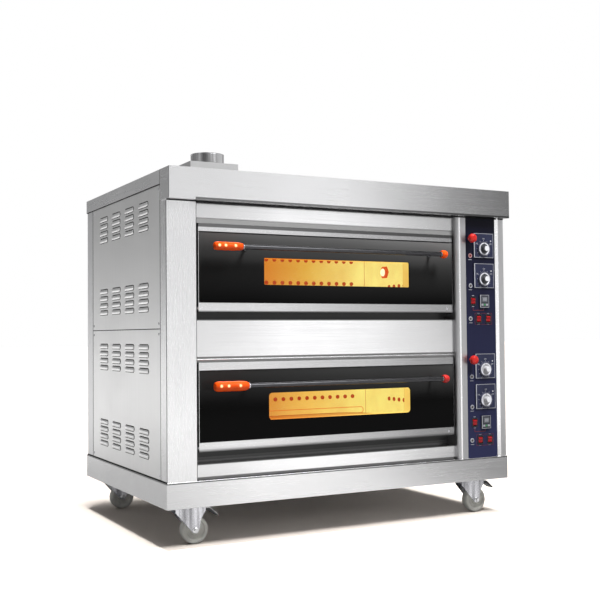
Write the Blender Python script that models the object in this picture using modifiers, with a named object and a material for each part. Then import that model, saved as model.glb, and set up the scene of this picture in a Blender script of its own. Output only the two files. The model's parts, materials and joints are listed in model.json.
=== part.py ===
"""Two-deck bakery oven on casters, at real size in metres with +Z up.

The front faces -Y, the floor is z = 0, and the overall box is centred on x = 0 and y = 0.
"""

import math

import bmesh
import bpy

# Overall sizes
WIDTH = 1.356          # across the hood
DEPTH = 0.928          # hood front to hood back
PLINTH_H = 0.0825      # height of the plinth tray
DOOR_H = 0.286         # height of one door

# Sheet metal and fits
SHEET = 0.003
GAP = 0.0004           # between pieces that touch
FLOOR_T = 0.004        # plinth floor

# Hood and flue
FASCIA_H = 0.101
FASCIA_D = 0.0865
STRIP_H = 0.046
FLUE_W = 0.197
FLUE_D = 0.145
FLUE_H = 0.125
PIPE_R = 0.0635
PIPE_UP = 0.040
FLUE_X = -0.289
FLUE_Y = 0.6225

# Planes behind the hood's front face
PLINTH_IN = 0.031
COLUMN_IN = 0.034
FACE_IN = 0.053        # doors and front strips
DOOR_T = 0.0445
LINER_GAP = 0.0035     # back of the doors to the chamber frame
POST_D = 0.093         # back edge of a front post's side
REAR_W = 0.0735        # side return of the back panel

# Front layout, from the left edge
POST_W = 0.101
RIGHT_POST_W = 0.0412
PANEL_W = 0.1356       # dark control panel
TRIM_W = 0.0436        # rounded column beside it
TRIM_R = 0.012

# Doors
DOOR_LEFT = 0.0140     # post to door
DOOR_RIGHT = 0.0040    # door to trim
RAIL_TOP = 0.0250
RAIL_LOW = 0.0290
LIP = 0.0012
GLASS_T = 0.0057
POCKET = 0.0076
WINDOW_H = 0.0895
WINDOW_X = 0.2365      # door's left edge to the window
WINDOW_RIGHT = 0.1903  # window to the door's right edge
WINDOW_Z = 0.0910      # door's bottom to the window
WINDOW_R = {"lower": 0.012, "upper": 0.004}
HINGE_IN = 0.0130
HINGE_UP = 0.0120
HINGE_R = 0.0040

# Handles
ROD_R = 0.0100
ROD_OUT = 0.0480       # rod axis in front of the door face
ROD_DROP = 0.0760      # door's top to the rod axis
ROD_L_IN = 0.0350      # handle ends from the door's edges
ROD_R_IN = 0.0620
GRIP_R = {"lower": 0.0165, "upper": 0.0138}
GRIP_L = {"lower": 0.117, "upper": 0.099}
POST_L_IN = 0.1300     # handle end to the left standoff
POST_R_IN = 0.0430
CAP_R = 0.0148
CAP_L = 0.0230
STANDOFF_R = 0.0075
FOOT_R = 0.0120

# Baking chambers
CHAMBER_D = 0.530
CHAMBER_LEFT = 0.0460  # door's left edge to the chamber
CHAMBER_RIGHT = 0.0240
CHAMBER_Z = 0.0310     # door bottom to the chamber floor
CHAMBER_TOP = 0.0410   # chamber roof to the door's top
HEARTH_T = 0.0126
BURNER_R = 0.0080
BURNER_TURN = 0.120

# Front strips
STRIP_DROP = 0.0530    # hood to the bottom of the top strip
TOP_GAP = 0.0165       # upper door to the top strip
MID_H = 0.1200
MID_GAP = 0.0250       # between the middle strip and the door above it
MID_TOP = 0.0190       # between the middle strip and the door below it
LOW_UP = 0.0085        # plinth to the bottom strip
LOW_H = 0.0420
LOW_GAP = 0.0385       # between the bottom strip and the lower door

# Side panels
SPLIT_UP = 0.1095      # lower door's top to the line between the side panels
SPLIT_GAP = 0.0020
SLOT_W = 0.092
SLOT_H = 0.007
SLOT_GAP = 0.058       # between the louvre columns
SLOT_PITCH_Z = 0.0263
SLOT_BACK = 0.010      # louvre columns behind the panel's middle
SLOTS = 4
BLOCK_TOP = 0.089
BLOCK_LOW = 0.104

# Controls, measured from each door's bottom
PLATE = 0.092
PLATE_T = 0.0040
POD = 0.068
POD_D = 0.055
THERMO_Z = (0.2510, 0.1380)
THERMO_X = 0.0805      # panel's left edge to the thermostats
DIAL_DROP = 0.0120
DIAL_R = 0.0285
DIAL_T = 0.0060
KNOB_R = 0.0110
KNOB_T = 0.0130
SHAFT_R = 0.0030
SHAFT_L = 0.0120
PULL_X = 0.0140
PULL_Z = 0.2750
PULL_R = 0.0170
PULL_ROD_R = 0.0050
PULL_TRAVEL = 0.050
TIMER_X = 0.0800
TIMER_Z = 0.0425
TIMER_W = 0.042
TIMER_H = 0.048
ROCKERS = ((0.0310, 0.0430), (0.0560, -0.0230), (0.1005, -0.0230))
ROCKER_W = 0.0180
ROCKER_R = 0.0125
ROCKER_IN = 0.0065     # panel face to the rocker's pivot
ROCKER_SWING = 16.0    # degrees

# Casters
WHEEL_R = 0.046
WHEEL_SIDES = 28
PLINTH_OVER = 0.0380   # top of the wheels to the underside of the plinth
WHEEL_W = 0.032
HUB_R = 0.017
AXLE_R = 0.0060
TRAIL = 0.033
CASTER_LEFT = 0.090    # hood side to the swivel axis
CASTER_RIGHT = 0.128
CASTER_FRONT = 0.118   # hood front to the swivel axis
CASTER_REAR = 0.053
PAD_X = 0.100
PAD_Y = 0.085
PAD_T = 0.004
RACE_R = 0.026
FORK_T = 0.003
PEDAL_L = 0.046
PEDAL_W = 0.034

# Positions worked out from the sizes
ROD_Y = FACE_IN - ROD_OUT
FRONT = -(DEPTH + min(ROD_Y - max(GRIP_R.values()), 0.0)) / 2
LEFT = -WIDTH / 2
RIGHT = WIDTH / 2
LINER_IN = FACE_IN + DOOR_T + LINER_GAP
PLINTH_Z = 2 * WHEEL_R + PLINTH_OVER
PLINTH_TOP = PLINTH_Z + PLINTH_H
LOW_DOOR = PLINTH_TOP + LOW_UP + LOW_H + LOW_GAP
DECK_PITCH = DOOR_H + MID_TOP + MID_H + MID_GAP
DOORS = {"lower": LOW_DOOR, "upper": LOW_DOOR + DECK_PITCH}
FASCIA_Z = DOORS["upper"] + DOOR_H + TOP_GAP + STRIP_DROP
HOOD_TOP = FASCIA_Z + FASCIA_H
STRIP_Z = HOOD_TOP - STRIP_H
CHAMBER_H = DOOR_H - CHAMBER_Z - CHAMBER_TOP
ROD_Z = DOOR_H - ROD_DROP
SLOT_PITCH_Y = SLOT_W + SLOT_GAP
BODY_L = LEFT + SHEET
BODY_R = RIGHT - SHEET
POST_RIGHT = BODY_L + POST_W
PANEL_R = BODY_R - RIGHT_POST_W - GAP
PANEL_L = PANEL_R - PANEL_W
TRIM_L = PANEL_L - GAP - TRIM_W
DOOR_L = POST_RIGHT + DOOR_LEFT
DOOR_R = TRIM_L - DOOR_RIGHT
WINDOW_W = DOOR_R - DOOR_L - WINDOW_X - WINDOW_RIGHT
BACK = DEPTH - SHEET - GAP
REAR_FRONT = BACK - REAR_W
SPLIT = LOW_DOOR + DOOR_H + SPLIT_UP
CASTERS = {
    "front_left": (LEFT + CASTER_LEFT, CASTER_FRONT),
    "front_right": (RIGHT - CASTER_RIGHT, CASTER_FRONT),
    "rear_left": (LEFT + CASTER_LEFT, DEPTH - CASTER_REAR),
    "rear_right": (RIGHT - CASTER_RIGHT, DEPTH - CASTER_REAR),
}

MATERIALS = {
    "steel": ((0.62, 0.62, 0.63), 0.32, 1.0),
    "chrome": ((0.75, 0.75, 0.76), 0.12, 1.0),
    "zinc": ((0.60, 0.61, 0.62), 0.38, 1.0),
    "liner": ((0.75, 0.42, 0.12), 0.45, 0.6),
    "hearth": ((0.20, 0.16, 0.13), 0.80, 0.0),
    "glass": ((0.02, 0.02, 0.02), 0.05, 0.0),
    "navy": ((0.016, 0.018, 0.035), 0.40, 0.0),
    "plate": ((0.03, 0.035, 0.06), 0.40, 0.0),
    "silver": ((0.72, 0.72, 0.74), 0.25, 0.9),
    "orange": ((0.80, 0.07, 0.012), 0.30, 0.0),
    "red": ((0.55, 0.02, 0.02), 0.30, 0.0),
    "nylon": ((0.60, 0.59, 0.53), 0.50, 0.0),
    "black": ((0.02, 0.02, 0.02), 0.45, 0.0),
    "timer": ((0.05, 0.05, 0.06), 0.45, 0.0),
}


def clear_scene():
    for obj in list(bpy.data.objects):
        bpy.data.objects.remove(obj, do_unlink=True)


def collection(name):
    made = bpy.data.collections.new(name)
    bpy.context.scene.collection.children.link(made)
    return made


def paint(obj, look):
    colour, rough, metal = MATERIALS[look]
    mat = bpy.data.materials.new(obj.name)
    mat.use_nodes = True
    shader = mat.node_tree.nodes["Principled BSDF"]
    shader.inputs["Base Color"].default_value = (*colour, 1)
    shader.inputs["Roughness"].default_value = rough
    shader.inputs["Metallic"].default_value = metal
    obj.data.materials.append(mat)


def finish(name, bm, look, origin, smooth):
    """Turns a bmesh, in positions behind the hood's front, into an object with its own origin."""
    origin = (origin[0], origin[1] + FRONT, origin[2])
    bmesh.ops.translate(bm, verts=bm.verts, vec=(-origin[0], FRONT - origin[1], -origin[2]))
    bmesh.ops.recalc_face_normals(bm, faces=bm.faces)
    mesh = bpy.data.meshes.new(name)
    bm.to_mesh(mesh)
    bm.free()
    if smooth:
        mesh.polygons.foreach_set("use_smooth", [True] * len(mesh.polygons))
        mesh.set_sharp_from_angle(angle=math.radians(35))
    obj = bpy.data.objects.new(name, mesh)
    obj.location = origin
    if look:
        PARTS.objects.link(obj)
        paint(obj, look)
    else:
        CUTTERS.objects.link(obj)
        obj.hide_render = True
        obj.display_type = "WIRE"
    return obj


def add_box(bm, low, high):
    size = [b - a for a, b in zip(low, high)]
    middle = [(a + b) / 2 for a, b in zip(low, high)]
    made = bmesh.ops.create_cube(bm, size=1.0)["verts"]
    bmesh.ops.scale(bm, verts=made, vec=size)
    bmesh.ops.translate(bm, verts=made, vec=middle)
    return made


def box(name, low, high, look=None, origin=(0, 0, 0)):
    bm = bmesh.new()
    add_box(bm, low, high)
    return finish(name, bm, look, origin, False)


def rounded_box(name, low, high, radius, axis, steps, look=None, origin=(0, 0, 0)):
    """A box whose edges along one axis are rounded."""
    bm = bmesh.new()
    add_box(bm, low, high)
    along = [e for e in bm.edges if abs((e.verts[0].co - e.verts[1].co)["xyz".index(axis)]) > 1e-6]
    bmesh.ops.bevel(
        bm, geom=along, offset=radius, segments=steps, profile=0.5, affect="EDGES"
    )
    return finish(name, bm, look, origin, True)


def place(axis, along, across, up):
    """A point given along an axis and across it."""
    if axis == "x":
        return (along, across, up)
    if axis == "y":
        return (across, along, up)
    return (across, up, along)


def prism(name, points, axis, start, end, look=None, origin=(0, 0, 0), smooth=False):
    """A flat outline drawn across an axis, extruded from start to end."""
    bm = bmesh.new()
    face = bm.faces.new([bm.verts.new(place(axis, start, a, b)) for a, b in points])
    made = bmesh.ops.extrude_face_region(bm, geom=[face])["geom"]
    moved = [v for v in made if isinstance(v, bmesh.types.BMVert)]
    bmesh.ops.translate(bm, verts=moved, vec=place(axis, end - start, 0, 0))
    return finish(name, bm, look, origin, smooth)


def circle(centre, radius, sides, start=0.0, sweep=360.0):
    """Points on an arc; a full turn leaves out the repeated last point."""
    whole = abs(sweep) >= 360.0
    count = sides if whole else sides + 1
    angles = [math.radians(start + sweep * i / sides) for i in range(count)]
    return [(centre[0] + radius * math.cos(a), centre[1] + radius * math.sin(a)) for a in angles]


def rod(name, axis, centre, radius, start, end, sides=24, look=None, origin=(0, 0, 0)):
    """A cylinder along an axis; centre is its place across the axis."""
    return prism(name, circle(centre, radius, sides), axis, start, end, look, origin, True)


def lathe(name, profile, axis, centre, sides, look=None, origin=(0, 0, 0), turn=0.0):
    """A closed outline of (along, radius) points, spun about an axis from a starting turn."""
    bm = bmesh.new()
    here = place(axis, 0, *centre)
    verts = [
        bm.verts.new(place(axis, a, centre[0] + r * math.sin(turn), centre[1] + r * math.cos(turn)))
        for a, r in profile
    ]
    edges = [bm.edges.new((v, verts[i - 1])) for i, v in enumerate(verts)]
    bmesh.ops.spin(
        bm, geom=verts + edges, cent=here, axis=place(axis, 1, 0, 0),
        angle=math.tau, steps=sides, use_merge=True,
    )
    bmesh.ops.remove_doubles(bm, verts=bm.verts, dist=1e-6)
    return finish(name, bm, look, origin, True)


def combine(obj, other, operation):
    mod = obj.modifiers.new(f"{operation.lower()}_{other.name}", "BOOLEAN")
    mod.operation = operation
    mod.object = other
    mod.solver = "EXACT"
    return obj


def cut(obj, *others):
    for other in others:
        combine(obj, other, "DIFFERENCE")
    return obj


def join(obj, *others):
    for other in others:
        combine(obj, other, "UNION")
    return obj


def repeat(obj, count, step):
    mod = obj.modifiers.new("repeat", "ARRAY")
    mod.count = count
    mod.use_relative_offset = False
    mod.use_constant_offset = True
    mod.constant_offset_displace = step
    mod.use_merge_vertices = False
    return obj


def plinth():
    low = (LEFT, PLINTH_IN, PLINTH_Z)
    high = (RIGHT, DEPTH, PLINTH_TOP)
    tray = box("base_plinth", low, high, "steel")
    inside = box(
        "cut_plinth",
        (LEFT + SHEET, PLINTH_IN + SHEET, PLINTH_Z + FLOOR_T),
        (RIGHT - SHEET, DEPTH - SHEET, PLINTH_TOP + 0.02),
    )
    cut(tray, inside)
    ledges = (
        ((LEFT + SHEET / 2, PLINTH_IN + SHEET / 2), (RIGHT - SHEET / 2, FACE_IN + 0.03)),
        ((LEFT + SHEET / 2, DEPTH - 0.05), (RIGHT - SHEET / 2, DEPTH - SHEET / 2)),
    )
    for i, (a, b) in enumerate(ledges):
        add = box(f"add_ledge_{i}", (*a, PLINTH_TOP - SHEET), (*b, PLINTH_TOP))
        join(tray, add)
    for name, (x, y) in CASTERS.items():
        pad = box(
            f"add_pad_{name}",
            (x - PAD_X / 2, y - PAD_Y / 2, PLINTH_Z - PAD_T),
            (x + PAD_X / 2, y + PAD_Y / 2, PLINTH_Z + FLOOR_T / 2),
        )
        join(tray, pad)
    return tray


def hood():
    fascia = box("hood_fascia", (LEFT, 0, FASCIA_Z), (RIGHT, FASCIA_D, HOOD_TOP), "steel")
    inside = box(
        "cut_fascia",
        (LEFT + SHEET, SHEET, FASCIA_Z + SHEET),
        (RIGHT - SHEET, FASCIA_D + 0.05, HOOD_TOP - SHEET),
    )
    cut(fascia, inside)
    start = FASCIA_D + GAP
    cover = box("hood_cover", (LEFT, start, STRIP_Z), (RIGHT, DEPTH, HOOD_TOP), "steel")
    under = box(
        "cut_cover",
        (LEFT + SHEET, start - 0.02, STRIP_Z - 0.02),
        (RIGHT - SHEET, DEPTH - SHEET, HOOD_TOP - SHEET),
    )
    hole = rod("cut_cover_flue", "z", (FLUE_X, FLUE_Y), PIPE_R - 0.006, STRIP_Z, HOOD_TOP + 0.02)
    cut(cover, under, hole)


def flue():
    base = HOOD_TOP + GAP
    top = base + FLUE_H
    x0, x1 = FLUE_X - FLUE_W / 2, FLUE_X + FLUE_W / 2
    y0, y1 = FLUE_Y - FLUE_D / 2, FLUE_Y + FLUE_D / 2
    stack = box("flue", (x0, y0, base), (x1, y1, top), "steel")
    pipe = rod("add_pipe", "z", (FLUE_X, FLUE_Y), PIPE_R, top - 0.02, top + PIPE_UP, 32)
    hollow = box(
        "cut_flue_box",
        (x0 + SHEET, y0 + SHEET, base - 0.02),
        (x1 - SHEET, y1 - SHEET, top - SHEET),
    )
    bore = rod(
        "cut_flue_bore", "z", (FLUE_X, FLUE_Y), PIPE_R - SHEET, base - 0.03,
        top + PIPE_UP + 0.02, 32,
    )
    join(stack, pipe)
    cut(stack, hollow, bore)


def channel(name, low, high, keep, look):
    """A sheet channel: a box hollowed by a cutter that runs past each side not kept."""
    obj = box(name, low, high, look)
    wall = {side: SHEET if side in keep else -0.02 for side in ("x0", "x1", "y0", "y1", "z0", "z1")}
    inside = box(
        f"cut_{name}",
        (low[0] + wall["x0"], low[1] + wall["y0"], low[2] + wall["z0"]),
        (high[0] - wall["x1"], high[1] - wall["y1"], high[2] - wall["z1"]),
    )
    return cut(obj, inside)


def posts():
    z0, z1 = PLINTH_TOP + GAP, FASCIA_Z - GAP
    inner = LINER_IN - GAP
    left = prism(
        "left_post",
        [
            (BODY_L, COLUMN_IN), (POST_RIGHT, COLUMN_IN), (POST_RIGHT, inner),
            (POST_RIGHT - SHEET, inner), (POST_RIGHT - SHEET, COLUMN_IN + SHEET),
            (BODY_L + SHEET, COLUMN_IN + SHEET), (BODY_L + SHEET, POST_D), (BODY_L, POST_D),
        ],
        "z", z0, z1, "steel",
    )
    edge = BODY_R - RIGHT_POST_W
    right = prism(
        "right_post",
        [
            (BODY_R, COLUMN_IN), (BODY_R, POST_D), (BODY_R - SHEET, POST_D),
            (BODY_R - SHEET, COLUMN_IN + SHEET), (edge + SHEET, COLUMN_IN + SHEET),
            (edge + SHEET, COLUMN_IN + 0.02), (edge, COLUMN_IN + 0.02), (edge, COLUMN_IN),
        ],
        "z", z0, z1, "steel",
    )
    return left, right


def back_panel():
    z0, z1 = PLINTH_TOP + GAP, HOOD_TOP - SHEET - GAP
    low = (BODY_L + GAP, REAR_FRONT, z0)
    high = (BODY_R - GAP, BACK, z1)
    panel = channel("back_panel", low, high, ("x0", "x1", "y1"), "steel")
    for side, x in (("a", -0.30), ("b", 0.30)):
        wide = WIDTH * 0.15
        centre = x * WIDTH / 1.356
        slots = box(
            f"cut_vents_{side}",
            (centre - wide / 2, BACK - 0.02, z1 - 0.20),
            (centre + wide / 2, BACK + 0.02, z1 - 0.20 + SLOT_H),
        )
        cut(panel, repeat(slots, 6, (0, 0, 0.022)))


def side_panel(name, x0, x1, z0, z1, slot_rows):
    y0, y1 = POST_D + GAP, REAR_FRONT - GAP
    panel = box(name, (x0, y0, z0), (x1, y1, z1), "steel")
    span = (SLOTS - 1) * SLOT_PITCH_Y
    first_y = (y0 + y1) / 2 + SLOT_BACK - span / 2
    rise = (SLOTS - 1) * SLOT_PITCH_Z
    for i, row in enumerate(slot_rows):
        start = row - rise / 2
        slot = box(
            f"cut_{name}_{i}",
            (x0 - 0.01, first_y - SLOT_W / 2, start - SLOT_H / 2),
            (x1 + 0.01, first_y + SLOT_W / 2, start + SLOT_H / 2),
        )
        repeat(slot, SLOTS, (0, SLOT_PITCH_Y, 0))
        repeat(slot, SLOTS, (0, 0, SLOT_PITCH_Z))
        cut(panel, slot)


def side_panels():
    low = (PLINTH_TOP + GAP, SPLIT - SPLIT_GAP / 2)
    high = (SPLIT + SPLIT_GAP / 2, HOOD_TOP - SHEET - GAP)
    rows_low = (low[0] + BLOCK_LOW, low[1] - BLOCK_TOP - 0.009)
    rows_high = (high[0] + BLOCK_LOW, STRIP_Z - BLOCK_TOP)
    for side, x0 in (("left", BODY_L + GAP), ("right", BODY_R - GAP - SHEET)):
        side_panel(f"side_{side}_lower", x0, x0 + SHEET, *low, rows_low)
        side_panel(f"side_{side}_upper", x0, x0 + SHEET, *high, rows_high)


def front_strips():
    x0, x1 = POST_RIGHT + GAP, TRIM_L - GAP
    deep = LINER_IN - GAP
    lower, upper = DOORS["lower"], DOORS["upper"]
    channel(
        "front_strip_top", (x0, FACE_IN, FASCIA_Z - STRIP_DROP), (x1, deep, FASCIA_Z - GAP),
        ("y0", "z0", "z1"), "steel",
    )
    channel(
        "front_strip_middle", (x0, FACE_IN, lower + DOOR_H + MID_TOP),
        (x1, deep, upper - MID_GAP), ("y0", "z0", "z1"), "steel",
    )
    low = PLINTH_TOP + LOW_UP
    channel(
        "front_strip_bottom", (x0, FACE_IN, low), (x1, deep, low + LOW_H),
        ("y0", "z0", "z1"), "steel",
    )


def control_trim():
    z0, z1 = PLINTH_TOP + GAP, FASCIA_Z - GAP
    x0, x1 = TRIM_L, TRIM_L + TRIM_W
    inner = LINER_IN - GAP
    front = COLUMN_IN
    outer = circle((x0 + TRIM_R, front + TRIM_R), TRIM_R, 5, 180, 90)
    inside = circle((x0 + TRIM_R, front + TRIM_R), TRIM_R - SHEET, 5, 270, -90)
    outline = [(x0, inner)] + outer + [
        (x1, front), (x1, front + 0.02), (x1 - SHEET, front + 0.02), (x1 - SHEET, front + SHEET),
    ] + inside + [(x0 + SHEET, inner)]
    prism("control_trim", outline, "z", z0, z1, "steel", smooth=True)


def window_span(door, grow, start, end):
    """Opposite corners of the window's opening, grown all round."""
    x0 = DOOR_L + WINDOW_X
    z0 = door + WINDOW_Z
    low = (x0 - grow, start, z0 - grow)
    return low, (x0 + WINDOW_W + grow, end, z0 + WINDOW_H + grow)


def door(deck, z):
    hinge = (0, FACE_IN + HINGE_IN, z + HINGE_UP)
    back = FACE_IN + DOOR_T
    frame = box(f"door_frame_{deck}", (DOOR_L, FACE_IN, z), (DOOR_R, back, z + DOOR_H), "steel", hinge)
    pins = rod(
        f"add_pins_{deck}", "x", (hinge[1], hinge[2]), HINGE_R, POST_RIGHT + GAP, TRIM_L - GAP, 16
    )
    pocket = box(
        f"cut_pocket_{deck}",
        (DOOR_L + LIP, FACE_IN - 0.02, z + RAIL_LOW),
        (DOOR_R - LIP, FACE_IN + POCKET, z + DOOR_H - RAIL_TOP),
    )
    hollow = box(
        f"cut_hollow_{deck}",
        (DOOR_L + SHEET, FACE_IN + POCKET + SHEET, z + HINGE_UP + HINGE_R + 0.004),
        (DOOR_R - SHEET, back - SHEET, z + DOOR_H - SHEET),
    )
    keep = window_span(z, SHEET + 0.0013, FACE_IN - 0.02, back + 0.02)
    cut(hollow, box(f"keep_window_{deck}", *keep))
    vents = box(
        f"cut_door_vents_{deck}",
        (DOOR_L + 0.12, back - 0.012, z + DOOR_H - 0.02),
        (DOOR_L + 0.20, back - 0.008, z + DOOR_H + 0.02),
    )
    repeat(vents, 6, ((DOOR_R - DOOR_L - 0.32) / 5, 0, 0))
    span = window_span(z, 0.0, FACE_IN - 0.04, back + 0.04)
    window = rounded_box(f"cut_window_{deck}", *span, WINDOW_R[deck], "y", 4)
    join(frame, pins)
    cut(frame, pocket, hollow, vents, window)
    box(
        f"door_glass_{deck}",
        (DOOR_L + LIP + GAP, FACE_IN + POCKET - GAP - GLASS_T, z + RAIL_LOW + GAP),
        (DOOR_R - LIP - GAP, FACE_IN + POCKET - GAP, z + DOOR_H - RAIL_TOP - 0.003),
        "glass", hinge,
    )


def handle(deck, z):
    hinge = (0, FACE_IN + HINGE_IN, z + HINGE_UP)
    centre = (ROD_Y, z + ROD_Z)
    left, right = DOOR_L + ROD_L_IN, DOOR_R - ROD_R_IN
    wall = 0.004
    bar = rod(
        f"handle_rod_{deck}", "x", centre, ROD_R, left + wall + GAP, right - wall - GAP, 20,
        "chrome", hinge,
    )
    face = FACE_IN + POCKET - GAP - GLASS_T - GAP
    for i, x in enumerate((left + POST_L_IN, right - POST_R_IN)):
        post = rod(f"add_post_{deck}_{i}", "y", (x, centre[1]), STANDOFF_R, ROD_Y, face - 0.0015, 16)
        foot = rod(f"add_foot_{deck}_{i}", "y", (x, centre[1]), FOOT_R, face - 0.004, face, 16)
        join(post, foot)
        join(bar, post)
    bore = ROD_R + GAP
    thick = GRIP_R[deck]
    end = left + GRIP_L[deck]
    grip = [
        (left, bore * 0.5), (left, thick * 0.80), (left + 0.005, thick), (end - 0.030, thick),
        (end - 0.012, thick * 0.92), (end, ROD_R + 0.0018),
        (end, bore), (left + wall, bore), (left + wall, bore * 0.5),
    ]
    cap = [
        (right - CAP_L, bore), (right - CAP_L, CAP_R * 0.86), (right - CAP_L * 0.75, CAP_R),
        (right - CAP_L * 0.30, CAP_R), (right, CAP_R * 0.70), (right, bore * 0.5),
        (right - wall, bore * 0.5), (right - wall, bore),
    ]
    lathe(f"handle_grip_{deck}", grip, "x", centre, 20, "orange", hinge)
    lathe(f"handle_cap_{deck}", cap, "x", centre, 20, "orange", hinge)


def chamber(deck, z):
    x0, x1 = DOOR_L + CHAMBER_LEFT, DOOR_R - CHAMBER_RIGHT
    z0 = z + CHAMBER_Z
    z1 = z0 + CHAMBER_H
    y0, y1 = LINER_IN, LINER_IN + CHAMBER_D
    liner = box(
        f"chamber_liner_{deck}", (x0 - SHEET, y0, z0 - SHEET), (x1 + SHEET, y1 + SHEET, z1 + SHEET),
        "liner",
    )
    flange = box(
        f"add_flange_{deck}",
        (POST_RIGHT - 0.015, y0, z - MID_GAP - 0.006),
        (TRIM_L + 0.006, y0 + SHEET, z + DOOR_H + MID_TOP + 0.006),
    )
    inside = box(f"cut_chamber_{deck}", (x0, y0 - 0.02, z0), (x1, y1, z1))
    join(liner, flange)
    cut(liner, inside)
    box(
        f"hearth_{deck}", (x0 + GAP, y0 + 0.004, z0 + GAP), (x1 - GAP, y1 - GAP, z0 + HEARTH_T),
        "hearth",
    )
    burner(deck, x0 + GAP, x1 - 0.095, (y0 + y1) / 2 + 0.05, z0 + HEARTH_T + GAP + BURNER_R)


def burner(deck, start, end, middle, z):
    """A tube laid flat as a long U, its closed end toward the controls."""
    curve = bpy.data.curves.new(f"burner_path_{deck}", "CURVE")
    curve.dimensions = "3D"
    curve.bevel_depth = BURNER_R
    curve.bevel_resolution = 2
    curve.use_fill_caps = True
    turn = circle((end - BURNER_TURN, middle), BURNER_TURN, 12, -90, 180)
    points = [(start, middle - BURNER_TURN)] + turn + [(start, middle + BURNER_TURN)]
    spline = curve.splines.new("POLY")
    spline.points.add(len(points) - 1)
    for point, (x, y) in zip(spline.points, points):
        point.co = (x, y, z, 1)
    path = bpy.data.objects.new(f"burner_path_{deck}", curve)
    CUTTERS.objects.link(path)
    graph = bpy.context.evaluated_depsgraph_get()
    mesh = bpy.data.meshes.new_from_object(path.evaluated_get(graph))
    bm = bmesh.new()
    bm.from_mesh(mesh)
    bmesh.ops.remove_doubles(bm, verts=bm.verts, dist=1e-5)
    bpy.data.objects.remove(path)
    return finish(f"burner_tube_{deck}", bm, "zinc", (0, 0, 0), True)


def control_panel():
    z0, z1 = PLINTH_TOP + GAP, FASCIA_Z - GAP
    panel = box("control_panel", (PANEL_L, COLUMN_IN, z0), (PANEL_R, COLUMN_IN + SHEET, z1), "navy")
    y0, y1 = COLUMN_IN - 0.02, COLUMN_IN + SHEET + 0.02
    for deck, z in DOORS.items():
        x = PANEL_L + THERMO_X
        for i, up in enumerate(THERMO_Z):
            half = POD / 2 + GAP
            hole = (x - half, y0, z + up - half), (x + half, y1, z + up + half)
            cut(panel, box(f"cut_pod_{deck}_{i}", *hole))
        x, up = PANEL_L + TIMER_X, z + TIMER_Z
        a, b = TIMER_W / 2 - 0.002 + GAP, TIMER_H / 2 - 0.002 + GAP
        cut(panel, box(f"cut_timer_{deck}", (x - a, y0, up - b), (x + a, y1, up + b)))
        for i, (across, up) in enumerate(ROCKERS):
            a = ROCKER_W / 2 + GAP
            b = ROCKER_R
            x = PANEL_L + across
            cut(panel, box(f"cut_rocker_{deck}_{i}", (x - a, y0, z + up - b), (x + a, y1, z + up + b)))
        centre = (PANEL_L + PULL_X, z + PULL_Z)
        cut(panel, rod(f"cut_pull_{deck}", "y", centre, PULL_ROD_R + GAP, y0, y1, 16))


def thermostat(deck, number, x, z):
    face = COLUMN_IN - GAP
    body = box(
        f"thermostat_{deck}_{number}",
        (x - PLATE / 2, face - PLATE_T, z - PLATE / 2), (x + PLATE / 2, face, z + PLATE / 2), "plate",
    )
    pod = box(
        f"add_pod_{deck}_{number}",
        (x - POD / 2, face - PLATE_T / 2, z - POD / 2), (x + POD / 2, COLUMN_IN + POD_D, z + POD / 2),
    )
    centre = (x, z - DIAL_DROP)
    front = face - PLATE_T
    hole = rod(
        f"cut_shaft_{deck}_{number}", "y", centre, SHAFT_R + GAP, front - 0.01,
        front + SHAFT_L + 0.002, 12,
    )
    join(body, pod)
    cut(body, hole)
    y = front - GAP
    profile = [
        (y, SHAFT_R), (y, DIAL_R), (y - DIAL_T * 0.6, DIAL_R), (y - DIAL_T, DIAL_R - 0.0025),
        (y - DIAL_T * 0.7, DIAL_R - 0.0060), (y - DIAL_T * 0.7, KNOB_R + 0.001),
        (y - DIAL_T - KNOB_T * 0.8, KNOB_R), (y - DIAL_T - KNOB_T, KNOB_R - 0.002),
    ]
    dial = dial_solid(f"dial_{deck}_{number}", profile, centre, y)
    tab = box(
        f"add_pointer_{deck}_{number}",
        (x - 0.0012, y - DIAL_T - 0.001, centre[1] + KNOB_R * 0.6),
        (x + 0.0012, y - DIAL_T * 0.5, centre[1] + DIAL_R - 0.004),
    )
    join(dial, tab)


def dial_solid(name, profile, centre, y):
    """A dial with a shaft behind it, spun from a half outline that closes on its axis."""
    bm = bmesh.new()
    half = [(y + SHAFT_L, 0.0), (y + SHAFT_L, SHAFT_R)] + profile + [(profile[-1][0], 0.0)]
    verts = [bm.verts.new((centre[0], a, centre[1] + r)) for a, r in half]
    edges = [bm.edges.new(pair) for pair in zip(verts, verts[1:])]
    bmesh.ops.spin(
        bm, geom=verts + edges, cent=(centre[0], 0, centre[1]), axis=(0, 1, 0),
        angle=math.tau, steps=24, use_merge=True,
    )
    bmesh.ops.remove_doubles(bm, verts=bm.verts, dist=1e-6)
    return finish(name, bm, "silver", (centre[0], y, centre[1]), True)


def pull_knob(deck, x, z):
    y = COLUMN_IN
    profile = [
        (y + PULL_TRAVEL + 0.012, 0.0), (y + PULL_TRAVEL + 0.012, PULL_ROD_R),
        (y - 0.010, PULL_ROD_R), (y - 0.012, PULL_R * 0.55), (y - 0.018, PULL_R * 0.94),
        (y - 0.024, PULL_R), (y - 0.031, PULL_R * 0.88), (y - 0.0335, PULL_R * 0.5),
        (y - 0.0335, 0.0),
    ]
    bm = bmesh.new()
    verts = [bm.verts.new((x, a, z + r)) for a, r in profile]
    edges = [bm.edges.new(pair) for pair in zip(verts, verts[1:])]
    bmesh.ops.spin(
        bm, geom=verts + edges, cent=(x, 0, z), axis=(0, 1, 0), angle=math.tau, steps=20,
        use_merge=True,
    )
    bmesh.ops.remove_doubles(bm, verts=bm.verts, dist=1e-6)
    finish(f"pull_knob_{deck}", bm, "red", (x, y, z), True)


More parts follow.
